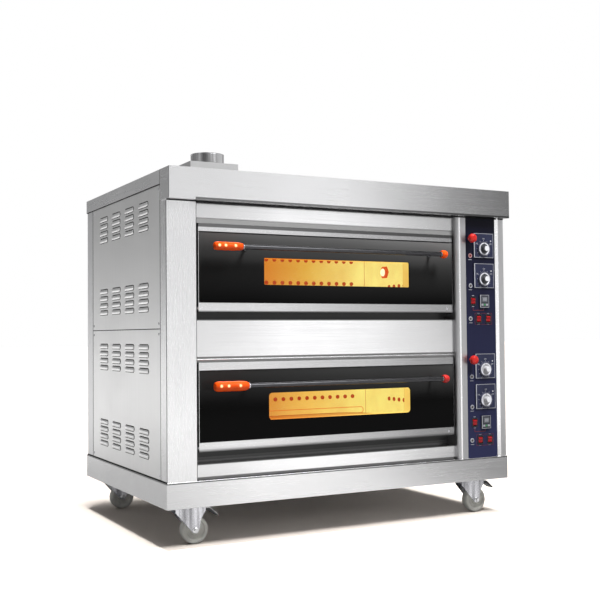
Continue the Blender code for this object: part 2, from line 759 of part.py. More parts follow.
def rocker(deck, number, x, z):
    """A rocker tipped to its off side; its back is an arc about the pivot."""
    pivot = (COLUMN_IN + ROCKER_IN, z)
    reach = math.degrees(math.asin((ROCKER_IN + 0.0032) / ROCKER_R))
    tilt = ROCKER_SWING / 2
    arc = circle(pivot, ROCKER_R - 0.0006, 10, -90 - reach + tilt, 180 + 2 * reach)
    low, high = arc[0], arc[-1]
    dip = ((low[0] + high[0]) / 2 + 0.0012, (low[1] + high[1]) / 2)
    prism(
        f"rocker_{deck}_{number}", arc + [dip], "x", x - ROCKER_W / 2, x + ROCKER_W / 2,
        "red", (x, *pivot),
    )


def timer(deck, x, z):
    face = COLUMN_IN - GAP
    a, b = TIMER_W / 2, TIMER_H / 2
    body = box(f"timer_{deck}", (x - a, face - 0.006, z - b), (x + a, face, z + b), "timer")
    pod = box(
        f"add_timer_{deck}",
        (x - a + 0.002, face - 0.003, z - b + 0.002), (x + a - 0.002, face + 0.045, z + b - 0.002),
    )
    join(body, pod)


def controls():
    control_panel()
    for deck, z in DOORS.items():
        for i, up in enumerate(THERMO_Z):
            thermostat(deck, i + 1, PANEL_L + THERMO_X, z + up)
        pull_knob(deck, PANEL_L + PULL_X, z + PULL_Z)
        timer(deck, PANEL_L + TIMER_X, z + TIMER_Z)
        for i, (x, up) in enumerate(ROCKERS):
            rocker(deck, i + 1, PANEL_L + x, z + up)


def fork(name, x, y):
    top = PLINTH_Z - PAD_T - GAP
    head = top - 0.008
    wheel_x = x + TRAIL
    gap = WHEEL_W / 2 + 0.0015
    half = gap + FORK_T
    crown = box(
        f"caster_fork_{name}",
        (x - 0.0352, y - half + FORK_T / 2, head - FORK_T),
        (wheel_x + 0.0332, y + half - FORK_T / 2, head), "zinc", (x, y, 0),
    )
    race = rod(f"add_race_{name}", "z", (x, y), RACE_R, head - FORK_T / 2, top, 24)
    join(crown, race)
    outline = [
        (x - 0.036, head - 0.0008), (x - 0.036, head - 0.012), (wheel_x - 0.010, WHEEL_R - 0.008),
        (wheel_x + 0.006, WHEEL_R - 0.010), (wheel_x + 0.012, WHEEL_R), (wheel_x + 0.018, WHEEL_R + 0.034),
        (wheel_x + 0.034, head - 0.012), (wheel_x + 0.034, head - 0.0008),
    ]
    for side, a in (("a", y - half), ("b", y + gap)):
        join(crown, prism(f"add_leg_{side}_{name}", outline, "y", a, a + FORK_T))
    axle = rod(f"add_axle_{name}", "y", (wheel_x, WHEEL_R), AXLE_R, y - half - 0.003, y + half + 0.003, 16)
    join(crown, axle)
    return head


def wheel(name, x, y):
    """A wheel that stands on one of its flat sides."""
    turn = math.pi / WHEEL_SIDES
    flat = 1 / math.cos(turn)
    tread = WHEEL_R * flat
    bore = (AXLE_R + GAP) * flat
    half = WHEEL_W / 2
    side = half - 0.005
    profile = [
        (y - half - 0.001, bore), (y - half - 0.001, HUB_R * 0.62), (y - half + 0.002, HUB_R),
        (y - side, HUB_R + 0.002), (y - side, WHEEL_R - 0.013), (y - half, WHEEL_R - 0.010),
        (y - half, WHEEL_R - 0.004), (y - half + 0.004, tread), (y + half - 0.004, tread),
        (y + half, WHEEL_R - 0.004), (y + half, WHEEL_R - 0.010), (y + side, WHEEL_R - 0.013),
        (y + side, HUB_R + 0.002), (y + half - 0.002, HUB_R), (y + half + 0.001, HUB_R * 0.62),
        (y + half + 0.001, bore),
    ]
    centre = (x, WHEEL_R)
    place_at = (x, y, WHEEL_R)
    lathe(f"caster_wheel_{name}", profile, "y", centre, WHEEL_SIDES, "nylon", place_at, turn)


def pedal(name, x, y, head):
    start = x + 0.034 + GAP
    pivot = (start + 0.004, head - 0.0075)
    outline = [
        (start, head - 0.004), (start + 0.014, head - 0.004), (start + 0.020, head - 0.007),
        (start + PEDAL_L, head - 0.030), (start + PEDAL_L - 0.002, head - 0.033),
        (start + 0.016, head - 0.015), (start, head - 0.011),
    ]
    prism(
        f"brake_pedal_{name}", outline, "y", y - PEDAL_W / 2, y + PEDAL_W / 2, "black",
        (pivot[0], y, pivot[1]),
    )


def casters():
    for name, (x, y) in CASTERS.items():
        head = fork(name, x, y)
        wheel(name, x + TRAIL, y)
        if name.startswith("front"):
            pedal(name, x + TRAIL, y, head)


def build():
    plinth()
    hood()
    flue()
    posts()
    back_panel()
    side_panels()
    front_strips()
    control_trim()
    for deck, z in DOORS.items():
        door(deck, z)
        handle(deck, z)
        chamber(deck, z)
    controls()
    casters()


clear_scene()
PARTS = collection("deck_oven")
CUTTERS = collection("cutters")
build()
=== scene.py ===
"""Looks for the two-deck bakery oven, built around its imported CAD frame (metres, +Z up, front -Y)."""

import json
import math

import bmesh
import bpy
from mathutils import Matrix, Vector

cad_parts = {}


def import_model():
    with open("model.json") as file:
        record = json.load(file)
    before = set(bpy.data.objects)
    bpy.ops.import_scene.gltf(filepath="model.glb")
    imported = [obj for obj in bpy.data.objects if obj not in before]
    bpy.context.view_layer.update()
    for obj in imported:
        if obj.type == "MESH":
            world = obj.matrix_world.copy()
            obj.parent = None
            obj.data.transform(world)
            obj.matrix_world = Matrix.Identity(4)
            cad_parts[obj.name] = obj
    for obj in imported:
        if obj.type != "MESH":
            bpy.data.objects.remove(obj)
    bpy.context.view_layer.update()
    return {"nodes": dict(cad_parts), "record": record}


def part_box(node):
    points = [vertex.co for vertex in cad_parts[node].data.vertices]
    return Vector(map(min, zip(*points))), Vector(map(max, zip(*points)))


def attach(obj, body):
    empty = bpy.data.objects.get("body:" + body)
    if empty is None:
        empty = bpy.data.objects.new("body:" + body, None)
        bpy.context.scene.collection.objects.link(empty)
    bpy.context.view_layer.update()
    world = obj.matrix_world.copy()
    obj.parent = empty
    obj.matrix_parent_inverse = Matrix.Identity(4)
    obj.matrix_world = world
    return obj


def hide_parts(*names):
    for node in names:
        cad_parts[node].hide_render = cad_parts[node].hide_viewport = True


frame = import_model()

DECKS = ("lower", "upper")
CORNERS = ("front_left", "front_right", "rear_left", "rear_right")
JOINTS = {j["name"]: j for j in frame["record"]["behaviour"]["joints"]}


def low(node):
    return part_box(node)[0]


def high(node):
    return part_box(node)[1]


def middle(node):
    return (low(node) + high(node)) / 2


# ---------------------------------------------------------------- materials


class Shader:
    """A node material with short ways to add and join its nodes."""

    def __init__(self, name, **values):
        self.mat = bpy.data.materials.new(name)
        self.mat.use_nodes = True
        self.tree = self.mat.node_tree
        self.main = self.tree.nodes["Principled BSDF"]
        for socket, value in values.items():
            self.main.inputs[socket.replace("_", " ")].default_value = value

    @classmethod
    def over(cls, tree):
        """The same short ways on a node tree that is already there."""
        s = cls.__new__(cls)
        s.tree, s.main = tree, tree.nodes.get("Principled BSDF")
        return s

    def add(self, kind, inputs=(), **settings):
        node = self.tree.nodes.new(kind)
        for key, value in settings.items():
            setattr(node, key, value)
        for key, value in dict(inputs).items():
            if hasattr(value, "is_output"):
                self.tree.links.new(value, node.inputs[key])
            else:
                node.inputs[key].default_value = value
        return node

    def noise(self, scale, detail=2.0, rough=0.5):
        """Noise over the object's own metres; one number is the same scale on every axis."""
        scale = scale if isinstance(scale, tuple) else (scale,) * 3
        where = self.add("ShaderNodeTexCoord").outputs["Object"]
        where = self.add("ShaderNodeMapping", {"Vector": where, "Scale": scale}).outputs[0]
        inputs = {"Vector": where, "Scale": 1.0, "Detail": detail, "Roughness": rough}
        return self.add("ShaderNodeTexNoise", inputs).outputs[0]

    def spread(self, value, a, b, start=0.3, end=0.7):
        inputs = {"Value": value, "From Min": start, "From Max": end, "To Min": a, "To Max": b}
        return self.add("ShaderNodeMapRange", inputs, clamp=True).outputs[0]

    def rise(self, value, start=0.3, end=0.7):
        return self.spread(value, 0.0, 1.0, start, end)

    def fall(self, value, start=0.3, end=0.7):
        return self.spread(value, 1.0, 0.0, start, end)

    def math(self, operation, a, b=0.0):
        return self.add("ShaderNodeMath", {0: a, 1: b}, operation=operation).outputs[0]

    def times(self, product, *factors):
        for factor in factors:
            product = self.math("MULTIPLY", product, factor)
        return product

    def hypot(self, a, b):
        return self.math("SQRT", self.math("ADD", self.math("POWER", a, 2.0), self.math("POWER", b, 2.0)))

    def away(self, where, x, z):
        """Distance from a line along y."""
        return self.hypot(self.math("SUBTRACT", where[0], x), self.math("SUBTRACT", where[2], z))

    def table(self, share, rows, start, end):
        """A level under 2, read from rows of (place, level) by the share of the way from start to end."""
        ramp = self.add("ShaderNodeValToRGB", {0: share})
        stops = ramp.color_ramp.elements
        stops.remove(stops[1])
        for n, (place, level) in enumerate(rows):
            position = (place - start) / (end - start)
            stop = stops.new(position) if n else stops[0]
            stop.position = position
            stop.color = (level / 2, level / 2, level / 2, 1)
        return self.times(self.add("ShaderNodeRGBToBW", {0: ramp.outputs[0]}).outputs[0], 2.0)

    def blend(self, share, a, b):
        """A colour between a and b (sockets 0, 6 and 7 are the colour mix's own)."""
        return self.add("ShaderNodeMix", {0: share, 6: a, 7: b}, data_type="RGBA").outputs[2]

    def axes(self):
        where = self.add("ShaderNodeTexCoord").outputs["Object"]
        return self.add("ShaderNodeSeparateXYZ", {0: where}).outputs

    def line(self, axis, at, half):
        """1 on a line across an axis, 0 away from it."""
        away = self.math("ABSOLUTE", self.math("SUBTRACT", self.axes()["XYZ".index(axis)], at))
        return self.fall(away, half * 0.6, half * 1.4)

    def link(self, name, socket):
        self.tree.links.new(socket, self.main.inputs[name])

    def colour(self, socket):
        self.link("Base Color", socket)

    def roughness(self, socket):
        self.link("Roughness", socket)

    def emission(self, colour, strength):
        self.link("Emission Color", colour)
        self.link("Emission Strength", strength)

    def bump(self, height, strength, distance=0.0003):
        node = self.add("ShaderNodeBump", {"Height": height, "Strength": strength, "Distance": distance})
        self.link("Normal", node.outputs[0])


def rgba(colour, share=1.0):
    return (*[c * share for c in colour], 1.0)


TONE_END = 0.7     # the tables of painted reflection and shade along the front run from -TONE_END to TONE_END in x
OTHER_TONE = 0.9    # painted shade of the faces that such a table leaves alone
EVERYWHERE = 9.0    # a bound past every face of the oven
FADE = 0.0006       # half the height over which a band of painted shade starts or ends


def shaded(s, tint, across, bands, face):
    """A tint made darker or lighter along x in front of a face, and inside bands of height: painted reflection and
    painted shade.
    """
    where = s.axes()
    share = 1.0
    if across:
        share = s.table(s.rise(where[0], -TONE_END, TONE_END), across, -TONE_END, TONE_END)
        front = s.math("LESS_THAN", where[1], face + FADE)
        share = s.math("ADD", s.times(s.math("SUBTRACT", share, OTHER_TONE), front), OTHER_TONE)
    # Each band is painted shade across a span of height.
    for start, end, level, *edge in bands:
        over = s.rise(where[2], start - FADE, start + FADE)
        under = s.fall(where[2], end - FADE, end + FADE)
        cut = s.times(over, under, 1.0 - level)
        if edge:
            cut = s.times(s.rise(where[0], edge[0], edge[0] + 0.001), cut)
        share = s.times(s.math("SUBTRACT", 1.0, cut), share)
    return s.add("ShaderNodeVectorMath", {0: tint, 3: share}, operation="SCALE").outputs[0]


def steel(name, grain, tone=(0.8, 0.8, 0.81), rough=0.24, shade_lines=(), across=(), bands=(), face=EVERYWHERE):
    """Brushed sheet: fine lines along the grain, slow changes of tone, dark fold lines of painted shade, and the
    painted reflection and shade laid on by shaded().
    """
    s = Shader(name, Metallic=1.0)
    fine = s.noise(grain, 4.0, 0.6)
    slow = s.noise((2.2, 2.2, 1.6))
    smear = s.noise((9.0, 9.0, 14.0), 3.0)
    tint = s.blend(s.rise(slow), rgba(tone, 0.955), rgba(tone, 1.03))
    tint = s.blend(s.spread(fine, 0.0, 0.07), tint, rgba(tone, 0.62))
    # Painted shade: a dark line where the sheets fold or meet.
    for axis, at, half in shade_lines:
        tint = s.blend(s.line(axis, at, half), tint, rgba(tone, 0.13))
    if across or bands:
        tint = shaded(s, tint, across, bands, face)
    s.colour(tint)
    s.roughness(s.math("ADD", s.spread(fine, rough - 0.03, rough + 0.05), s.spread(smear, 0.0, 0.03)))
    s.bump(fine, 0.006)
    return s.mat


ALONG_X = (3.0, 260.0, 330.0)
ALONG_Z = (330.0, 330.0, 3.0)
ALONG_Y = (330.0, 3.0, 260.0)


def plastic(name, colour, rough, grain=420.0, relief=0.06, wear=0.86, shine=0.5):
    s = Shader(name, Specular_IOR_Level=shine)
    fine = s.noise(grain)
    s.colour(s.blend(s.rise(s.noise(26.0)), rgba(colour, wear), rgba(colour, 1.06)))
    s.roughness(s.spread(fine, rough - 0.04, rough + 0.06))
    s.bump(fine, relief)
    return s.mat


def painted(name, low_end, high_end, rough):
    """Dark paint made a little darker towards the top of the panel: painted shade."""
    s = Shader(name, Specular_IOR_Level=0.12)
    fine = s.noise(500.0)
    s.colour(s.blend(s.rise(s.axes()[2], PANEL[0].z, PANEL[1].z), rgba(low_end), rgba(high_end)))
    s.roughness(s.spread(fine, rough - 0.04, rough + 0.06))
    s.bump(fine, 0.03)
    return s.mat


def streaked(name, tone, rough, scale, deep=0.55):
    """Zinc or drawn sheet: soft bright and dark bands that run one way."""
    s = Shader(name, Metallic=1.0)
    bands = s.noise(scale, 2.0, 0.45)
    fine = s.noise(240.0, 3.0)
    s.colour(s.blend(s.rise(bands, 0.36, 0.62), rgba(tone, deep), rgba(tone)))
    s.roughness(s.spread(fine, rough - 0.05, rough + 0.07))
    s.bump(fine, 0.05)
    return s.mat


def inside(s, where, spans):
    """1 where each listed coordinate lies between its two bounds."""
    share = 1.0
    for i, low_end, high_end in spans:
        share = s.times(s.math("GREATER_THAN", where[i], low_end), share)
        share = s.times(s.math("LESS_THAN", where[i], high_end), share)
    return share


def chamber_painted_glow(s, where, deck):
    """A painted glow of the lit chamber that grows paler towards the right of a chamber, and the noise that mottles
    it.
    """
    left, centre, right = (rgba(colour) for colour in GLOW[deck])
    ramp = s.add("ShaderNodeValToRGB", {0: s.rise(where[0], -0.16, 0.43)})
    stops = ramp.color_ramp.elements
    stops[0].position, stops[0].color = 0.05, left
    stops[1].position, stops[1].color = 0.97, right
    stops.new(0.52).color = centre
    patchy = s.noise(14.0, 3.0)
    return s.blend(s.spread(patchy, 0.0, 0.22), ramp.outputs[0], left), patchy


# Colours of the painted chamber glow at the left, middle and right.
GLOW = {
    "upper": ((0.64, 0.15, 0.01), (0.78, 0.47, 0.075), (1.00, 0.9, 0.27)),
    "lower": ((0.62, 0.17, 0.02), (0.94, 0.6, 0.12), (1.00, 0.9, 0.24)),
}


def chamber_sheet(name, deck, spans, share=1.0):
    """Chamber metal: a painted glow inside the oven; everywhere else dark sheet, painted shade for the gaps round
    the doors.
    """
    s = Shader(name, Roughness=0.6, Specular_IOR_Level=0.1)
    where = s.axes()
    warm, patchy = chamber_painted_glow(s, where, deck)
    mask = inside(s, where, spans)
    s.colour(s.blend(mask, (0.035, 0.034, 0.034, 1), (0.1, 0.06, 0.02, 1)))
    s.emission(warm, s.times(mask, 0.93 * share))
    s.bump(patchy, 0.1, 0.002)
    return s.mat


def tube_painted_glow(name, deck):
    """A burner tube in painted glow: pale in the middle, with painted shade of deep orange where it turns away."""
    s = Shader(name, Roughness=0.5, Specular_IOR_Level=0.1, Base_Color=(0.1, 0.05, 0.02, 1))
    warm, patchy = chamber_painted_glow(s, s.axes(), deck)
    facing = s.add("ShaderNodeLayerWeight", {"Blend": 0.5}).outputs["Facing"]
    warm = s.blend(0.55, warm, (0.62, 0.13, 0.008, 1))
    warm = s.blend(s.rise(facing, 0.3, 0.7), warm, (0.36, 0.06, 0.004, 1))
    s.emission(warm, s.spread(patchy, 0.82, 0.95))
    s.bump(patchy, 0.1, 0.001)
    return s.mat


def glow(name, colour, strength, rough=0.4):
    s = Shader(name, Roughness=rough, Emission_Color=rgba(colour), Emission_Strength=strength)
    s.colour(s.blend(s.rise(s.noise(160.0)), rgba(colour, 0.3), rgba(colour, 0.38)))
    return s.mat


# Where the painted reflection on a door's glass starts, its power, its tone at the top and its faint tone
GLASS_PAINTED_SHEEN = {"upper": (0.0, 5.0, 0.21, 0.046), "lower": (0.45, 1.3, 0.068, 0.0)}
CLEAR_START = {"upper": 0.0, "lower": 0.0145}    # from the left edge of the window cut to clear glass


def door_glass(name, deck):
    """Black printed glass with a painted reflection that makes it a little paler towards its top and right, and a
    clear window.
    """
    a, b = WINDOWS[deck]
    a = a + Vector((CLEAR_START[deck], 0, 0))
    s = Shader(name, Roughness=0.06, Specular_IOR_Level=0.05)
    where = s.axes()
    bottom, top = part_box(f"door_glass_{deck}")
    start, power, pale, dim = GLASS_PAINTED_SHEEN[deck]
    rise = s.rise(where[2], bottom.z + start * (top.z - bottom.z), top.z)
    right = s.spread(where[0], 0.55, 1.0, bottom.x, top.x)
    share = s.times(s.math("POWER", rise, power), right, s.spread(s.noise((2.0, 3.0, 7.0)), 0.75, 1.0))
    faint = s.blend(s.times(rise, right), (0.0004, 0.0004, 0.0005, 1), rgba((dim,) * 3))
    s.colour(s.blend(share, faint, rgba((pale,) * 3)))
    s.roughness(s.spread(s.noise(60.0), 0.04, 0.08))
    clear = s.add("ShaderNodeBsdfTransparent", {"Color": (1.0, 0.99, 0.97, 1)})
    mask = rounded_mask(s, where, a, b, WINDOW_R[deck])
    mix = s.add("ShaderNodeMixShader", {0: mask, 1: s.main.outputs[0], 2: clear.outputs[0]})
    s.tree.links.new(mix.outputs[0], s.tree.nodes["Material Output"].inputs[0])
    return s.mat


def frame_steel(name, deck):
    """Rail steel with painted reflection and bands of painted shade, whose window cut carries a painted glow of the
    chamber's light.
    """
    a, b = WINDOWS[deck]
    base, top = low(f"door_frame_{deck}").z, high(f"door_frame_{deck}").z
    # Bands of painted shade along the lower and upper rails.
    bands = [(0.0, base + 0.0035, 0.4)]
    bands.append((top - 0.0112, EVERYWHERE, 0.24) if deck == "upper" else (base, base + 0.008, 0.62))
    mat = steel(name, ALONG_X, (0.84, 0.84, 0.85), 0.2, (), FRAME_SHADING[deck], bands)
    s = Shader.over(mat.node_tree)
    where = s.axes()
    edge = 0.004
    behind = high(f"door_glass_{deck}").y - 0.001
    spans = ((0, a.x - edge, b.x + edge), (1, behind, EVERYWHERE), (2, a.z - edge, b.z + edge))
    mask = inside(s, where, spans)
    s.emission(chamber_painted_glow(s, where, deck)[0], s.times(mask, 0.9))
    s.link("Metallic", s.math("SUBTRACT", 1.0, mask))
    tint = s.main.inputs["Base Color"].links[0].from_socket
    s.colour(s.blend(mask, tint, (0.08, 0.05, 0.02, 1)))
    return mat


def rounded_mask(s, where, a, b, radius):
    """1 inside the rectangle from a to b, with rounded corners, in the plane of the door."""
    sides = []
    for i in (0, 2):
        away = s.math("ABSOLUTE", s.math("SUBTRACT", where[i], (a[i] + b[i]) / 2))
        sides.append(s.math("MAXIMUM", s.math("SUBTRACT", away, (b[i] - a[i]) / 2 - radius), 0.0))
    return s.math("LESS_THAN", s.hypot(*sides), radius)


DIAL_KNOB = 0.0094          # radii drawn on a dial
DIAL_RING = 0.0182, 0.024
PLATE_NAVY = (0.022, 0.025, 0.058)


def dial_face(name, centre, inner, ring):
    """A dial by distance from its axis: white ring, darker bowl, pale knob."""
    s = Shader(name, Roughness=0.3)
    away = s.away(s.axes(), centre.x, centre.z)
    fine = s.noise(300.0)
    tone = s.blend(s.math("LESS_THAN", away, DIAL_KNOB), rgba(inner), rgba((0.8, 0.81, 0.84)))
    tone = s.blend(s.rise(away, DIAL_RING[0], DIAL_RING[0] + 0.001), tone, rgba(ring))
    tone = s.blend(s.rise(away, DIAL_RING[1] - 0.0008, DIAL_RING[1]), tone, rgba(PLATE_NAVY))
    s.colour(s.blend(s.spread(fine, 0.0, 0.12), tone, rgba((0.4, 0.4, 0.42))))
    s.roughness(s.spread(fine, 0.25, 0.38))
    s.bump(fine, 0.04)
    return s.mat


# ---------------------------------------------------------------- mesh helpers


def piece(name, bm, mat, body, smooth=None):
    """Turns a bmesh drawn in the row frame into a named piece that rides on a body."""
    bmesh.ops.remove_doubles(bm, verts=bm.verts, dist=1e-6)
    bmesh.ops.recalc_face_normals(bm, faces=bm.faces)
    mesh = bpy.data.meshes.new(name)
    bm.to_mesh(mesh)
    bm.free()
    if smooth:
        mesh.polygons.foreach_set("use_smooth", [True] * len(mesh.polygons))
        mesh.set_sharp_from_angle(angle=math.radians(smooth))
    obj = bpy.data.objects.new(name, mesh)
    bpy.context.scene.collection.objects.link(obj)
    obj.data.materials.append(mat)
    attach(obj, body)
    return obj


def block(bm, a, b, bevel=0.0, segments=2):
    """A box from corner to corner with rounded edges."""
    made = bmesh.ops.create_cube(bm, size=1.0)["verts"]
    size = Vector(b) - Vector(a)
    for v in made:
        v.co = Vector(a) + Vector([(c + 0.5) * s for c, s in zip(v.co, size)])
    if bevel:
        edges = {e for v in made for e in v.link_edges}
        bmesh.ops.bevel(
            bm, geom=list(edges), offset=bevel, segments=segments, profile=0.5, affect="EDGES"
        )


AXES = {"x": (0, 1, 2), "y": (1, 0, 2), "z": (2, 0, 1)}


def spun(bm, profile, axis, centre, sides=48):
    """Spins (along, radius) points about an axis through centre.

    A profile that starts at radius 0 is closed there; any other is a ring, closed on itself.
    """
    i, j, k = AXES[axis]
    rings = []
    for along, radius in profile:
        ring = []
        for n in range(1 if radius == 0 else sides):
            turn = math.tau * n / sides
            at = [0.0, 0.0, 0.0]
            at[i] = centre[i] + along
            at[j] = centre[j] + radius * math.cos(turn)
            at[k] = centre[k] + radius * math.sin(turn)
            ring.append(bm.verts.new(at))
        rings.append(ring)
    pairs = list(zip(rings, rings[1:]))
    if profile[0][1] > 0:
        pairs.append((rings[-1], rings[0]))
    for a, b in pairs:
        for n in range(sides):
            m = (n + 1) % sides
            unique = list(dict.fromkeys([a[n % len(a)], a[m % len(a)], b[m % len(b)], b[n % len(b)]]))
            if len(unique) > 2:
                bm.faces.new(unique)


def slab(bm, outline, axis, start, end):
    """A flat outline across an axis, given thickness."""
    i, j, k = AXES[axis]

    def at(along, p):
        point = [0.0, 0.0, 0.0]
        point[i], point[j], point[k] = along, p[0], p[1]
        return bm.verts.new(point)

    first = [at(start, p) for p in outline]
    last = [at(end, p) for p in outline]
    bm.faces.new(first)
    bm.faces.new(last[::-1])
    for n in range(len(outline)):
        m = (n + 1) % len(outline)
        bm.faces.new((first[n], last[n], last[m], first[m]))


def ribbon(points, width):
    """The outline of a band of one width along a path of flat points."""
    left, right = [], []
    for n, p in enumerate(points):
        before = Vector(points[max(n - 1, 0)])
        after = Vector(points[min(n + 1, len(points) - 1)])
        run = (after - before).normalized()
        side = Vector((-run.y, run.x)) * width / 2
        left.append(tuple(Vector(p) + side))
        right.append(tuple(Vector(p) - side))
    return left + right[::-1]


def arc(centre, radius, start, end, steps):
    turns = [math.radians(start + (end - start) * n / steps) for n in range(steps + 1)]
    return [(centre[0] + radius * math.cos(t), centre[1] + radius * math.sin(t)) for t in turns]


def frame_outline(bm, a, b, wide, start, end, bevel=0.0):
    """Four bars inside a rectangle of the front, from one depth to another; wide is (across, up)."""
    x0, z0, x1, z1 = *a, *b
    across, up = wide
    for p, q, r, t in (
        (x0, z0, x1, z0 + up), (x0, z1 - up, x1, z1),
        (x0, z0 + up, x0 + across, z1 - up), (x1 - across, z0 + up, x1, z1 - up),
    ):
        block(bm, (p, start, q), (r, end, t), bevel)


def text(name, words, size, at, mat, body):
    """Small printed characters facing the front."""
    curve = bpy.data.curves.new(name, "FONT")
    curve.body = words
    curve.size = size
    curve.align_x = "CENTER"
    curve.align_y = "CENTER"
    curve.extrude = 0.0001
    curve.materials.append(mat)
    obj = bpy.data.objects.new(name, curve)
    obj.location = at
    obj.rotation_euler = (math.pi / 2, 0, 0)
    bpy.context.scene.collection.objects.link(obj)
    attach(obj, body)
    return obj


def dress(node, mat):
    """Gives a CAD node its finished material."""
    obj = frame["nodes"][node]
    if not obj.material_slots:
        obj.data.materials.append(mat)
    for slot in obj.material_slots:
        slot.material = mat


# ---------------------------------------------------------------- places taken from the frame

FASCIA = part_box("hood_fascia")
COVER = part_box("hood_cover")
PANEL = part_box("control_panel")
WINDOW_R = {"lower": 0.012, "upper": 0.004}


def window(deck):
    """Corners of the window cut, read from the door frame's own corner points."""
    points = [v.co for v in frame["nodes"][f"door_frame_{deck}"].data.vertices]
    a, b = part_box(f"door_frame_{deck}")
    cut = [
        p for p in points
        if p.y > b.y - 0.0002 and a.x + 0.2 < p.x < b.x - 0.15 and a.z + 0.06 < p.z < b.z - 0.06
    ]
    xs, zs = [p.x for p in cut], [p.z for p in cut]
    return Vector((min(xs), 0, min(zs))), Vector((max(xs), 0, max(zs)))


WINDOWS = {deck: window(deck) for deck in DECKS}

# Painted reflection and shade on the steel along the front, as rows of (x, tone)
HOOD_SHADING = (
    (-0.7, 0.97), (-0.35, 0.95), (-0.05, 1.02), (0.05, 0.945), (0.15, 0.863), (0.25, 0.765), (0.35, 0.647),
    (0.42, 0.54), (0.62, 0.385), (0.7, 0.33),
)
STRIP_SHADING = (
    (-0.7, 0.84), (-0.45, 0.92), (-0.35, 0.99), (-0.25, 1.1), (-0.05, 1.09), (0.15, 1.00), (0.35, 0.83),
    (0.46, 0.74),
)
LOW_SHADING = (
    (-0.7, 0.8), (-0.45, 0.89), (-0.35, 0.98), (-0.15, 1.18), (0.15, 1.18), (0.25, 1.12), (0.35, 1.02),
    (0.46, 0.9),
)
PLINTH_SHADING = (
    (-0.7, 0.8), (-0.55, 0.9), (-0.45, 0.98), (-0.35, 1.04), (-0.15, 1.06), (-0.05, 1.01), (0.15, 0.92),
    (0.35, 0.82), (0.62, 0.72),
)
FRAME_SHADING = {
    "upper": (
        (-0.7, 0.9), (-0.45, 0.86), (-0.25, 0.78), (-0.05, 0.63), (0.15, 0.56), (0.25, 0.52), (0.46, 0.46),
    ),
    "lower": (
        (-0.7, 0.78), (-0.45, 0.8), (-0.25, 0.75), (-0.05, 0.66), (0.15, 0.57), (0.25, 0.47), (0.46, 0.34),
    ),
}
STRIPS = {name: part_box(f"front_strip_{name}") for name in ("top", "middle", "bottom")}
STRIP_STEEL = (0.84, 0.84, 0.85)
HOOD_STEEL = (0.82, 0.82, 0.83)

MAT = {}


def strip(name, tone, strip_name, top_shade_bands, bottom_shade_band=None):
    """Strip steel with bands of painted shade, as (height, tone), under its top edge and one above its lower edge,
    and painted reflection along it.
    """
    a, b = STRIPS[strip_name]
    bands = [(b.z - height, EVERYWHERE, level) for height, level in top_shade_bands]
    if bottom_shade_band:
        bands.append((0.0, a.z + bottom_shade_band[0], bottom_shade_band[1]))
    return steel(name, ALONG_X, STRIP_STEEL, 0.19, (), tone, bands)


MAT["mid"] = strip("steel_strip", STRIP_SHADING, "middle", [(0.0034, 0.17)])
MAT["top"] = strip("steel_strip_top", STRIP_SHADING, "top", [(0.005, 0.3), (0.001, 0.5)], (0.0022, 0.62))
MAT["low"] = strip("steel_strip_low", LOW_SHADING, "bottom", [(0.003, 0.2)], (0.0012, 0.5))
# Darker copies of one steel for the faces in the channels round the doors: painted shade at five levels.
for key, level in (
    ("channel_shade_pale", 0.4), ("groove", 0.21), ("groove_low", 0.135), ("channel_shade_dim", 0.075),
    ("channel_shade_dark", 0.042),
):
    MAT[key] = steel(key, ALONG_X, (level,) * 3, 0.3)
# Among these, edge is a lighter copy of the steel for painted highlights; trim, column and bead are darker copies
# for painted shade.
for key, grain, tone, rough in (
    ("edge", ALONG_Z, (0.95, 0.95, 0.96), 0.2),
    ("post", ALONG_Z, (0.8, 0.8, 0.81), 0.24),
    ("trim", ALONG_Z, (0.47, 0.47, 0.48), 0.38),
    ("column", ALONG_Z, (0.54, 0.54, 0.55), 0.3),
    ("flue_box", ALONG_X, (0.58, 0.58, 0.585), 0.3),
    ("bead", ALONG_X, (0.55, 0.55, 0.56), 0.25),
    ("side", ALONG_Z, (0.78, 0.78, 0.78), 0.3),
    ("back", ALONG_Z, (0.72, 0.72, 0.73), 0.32),
    ("louvre", ALONG_Y, (0.86, 0.86, 0.86), 0.28),
):
    MAT[key] = steel(f"steel_{key}", grain, tone, rough)
# The hood's steel has a dark fold line of painted shade.
MAT["hood"] = steel("steel_hood", ALONG_Y, (0.78, 0.78, 0.79), 0.27, [("Y", COVER[0].y, 0.0016)])
# The fascia's steel: painted reflection along the front, two fold lines of painted shade, and a band of painted
# shade along its lower edge right of the left post.
MAT["fascia"] = steel(
    "steel_fascia", ALONG_X, HOOD_STEEL, 0.22,
    [("Y", FASCIA[1].y, 0.0016), ("Y", FASCIA[0].y + 0.0032, 0.0012)], HOOD_SHADING,
    [(0.0, FASCIA[0].z + 0.007, 0.26, high("left_post").x - 0.016)], FASCIA[0].y,
)
# The plinth's steel: painted reflection along the front and a band of painted shade under its top edge.
MAT["plinth"] = steel(
    "steel_plinth", ALONG_X, HOOD_STEEL, 0.22, (), PLINTH_SHADING,
    [(high("base_plinth").z - 0.0046, EVERYWHERE, 0.22)], low("base_plinth").y,
)
for key, name, tone, rough, scale, deep in (
    ("pipe", "steel_pipe", (0.78, 0.78, 0.79), 0.18, (46.0, 46.0, 1.0), 0.38),
    # The rod's near-black is painted reflection of dark surroundings on a chrome bar.
    ("rod", "chrome_painted_dark", (0.075, 0.075, 0.08), 0.12, (40.0, 260.0, 260.0), 0.8),
    ("zinc", "zinc", (0.74, 0.74, 0.78), 0.26, (75.0, 75.0, 3.0), 0.42),
    ("bright", "bright_metal", (0.85, 0.85, 0.86), 0.16, 60.0, 0.7),
):
    MAT[key] = streaked(name, tone, rough, scale, deep)
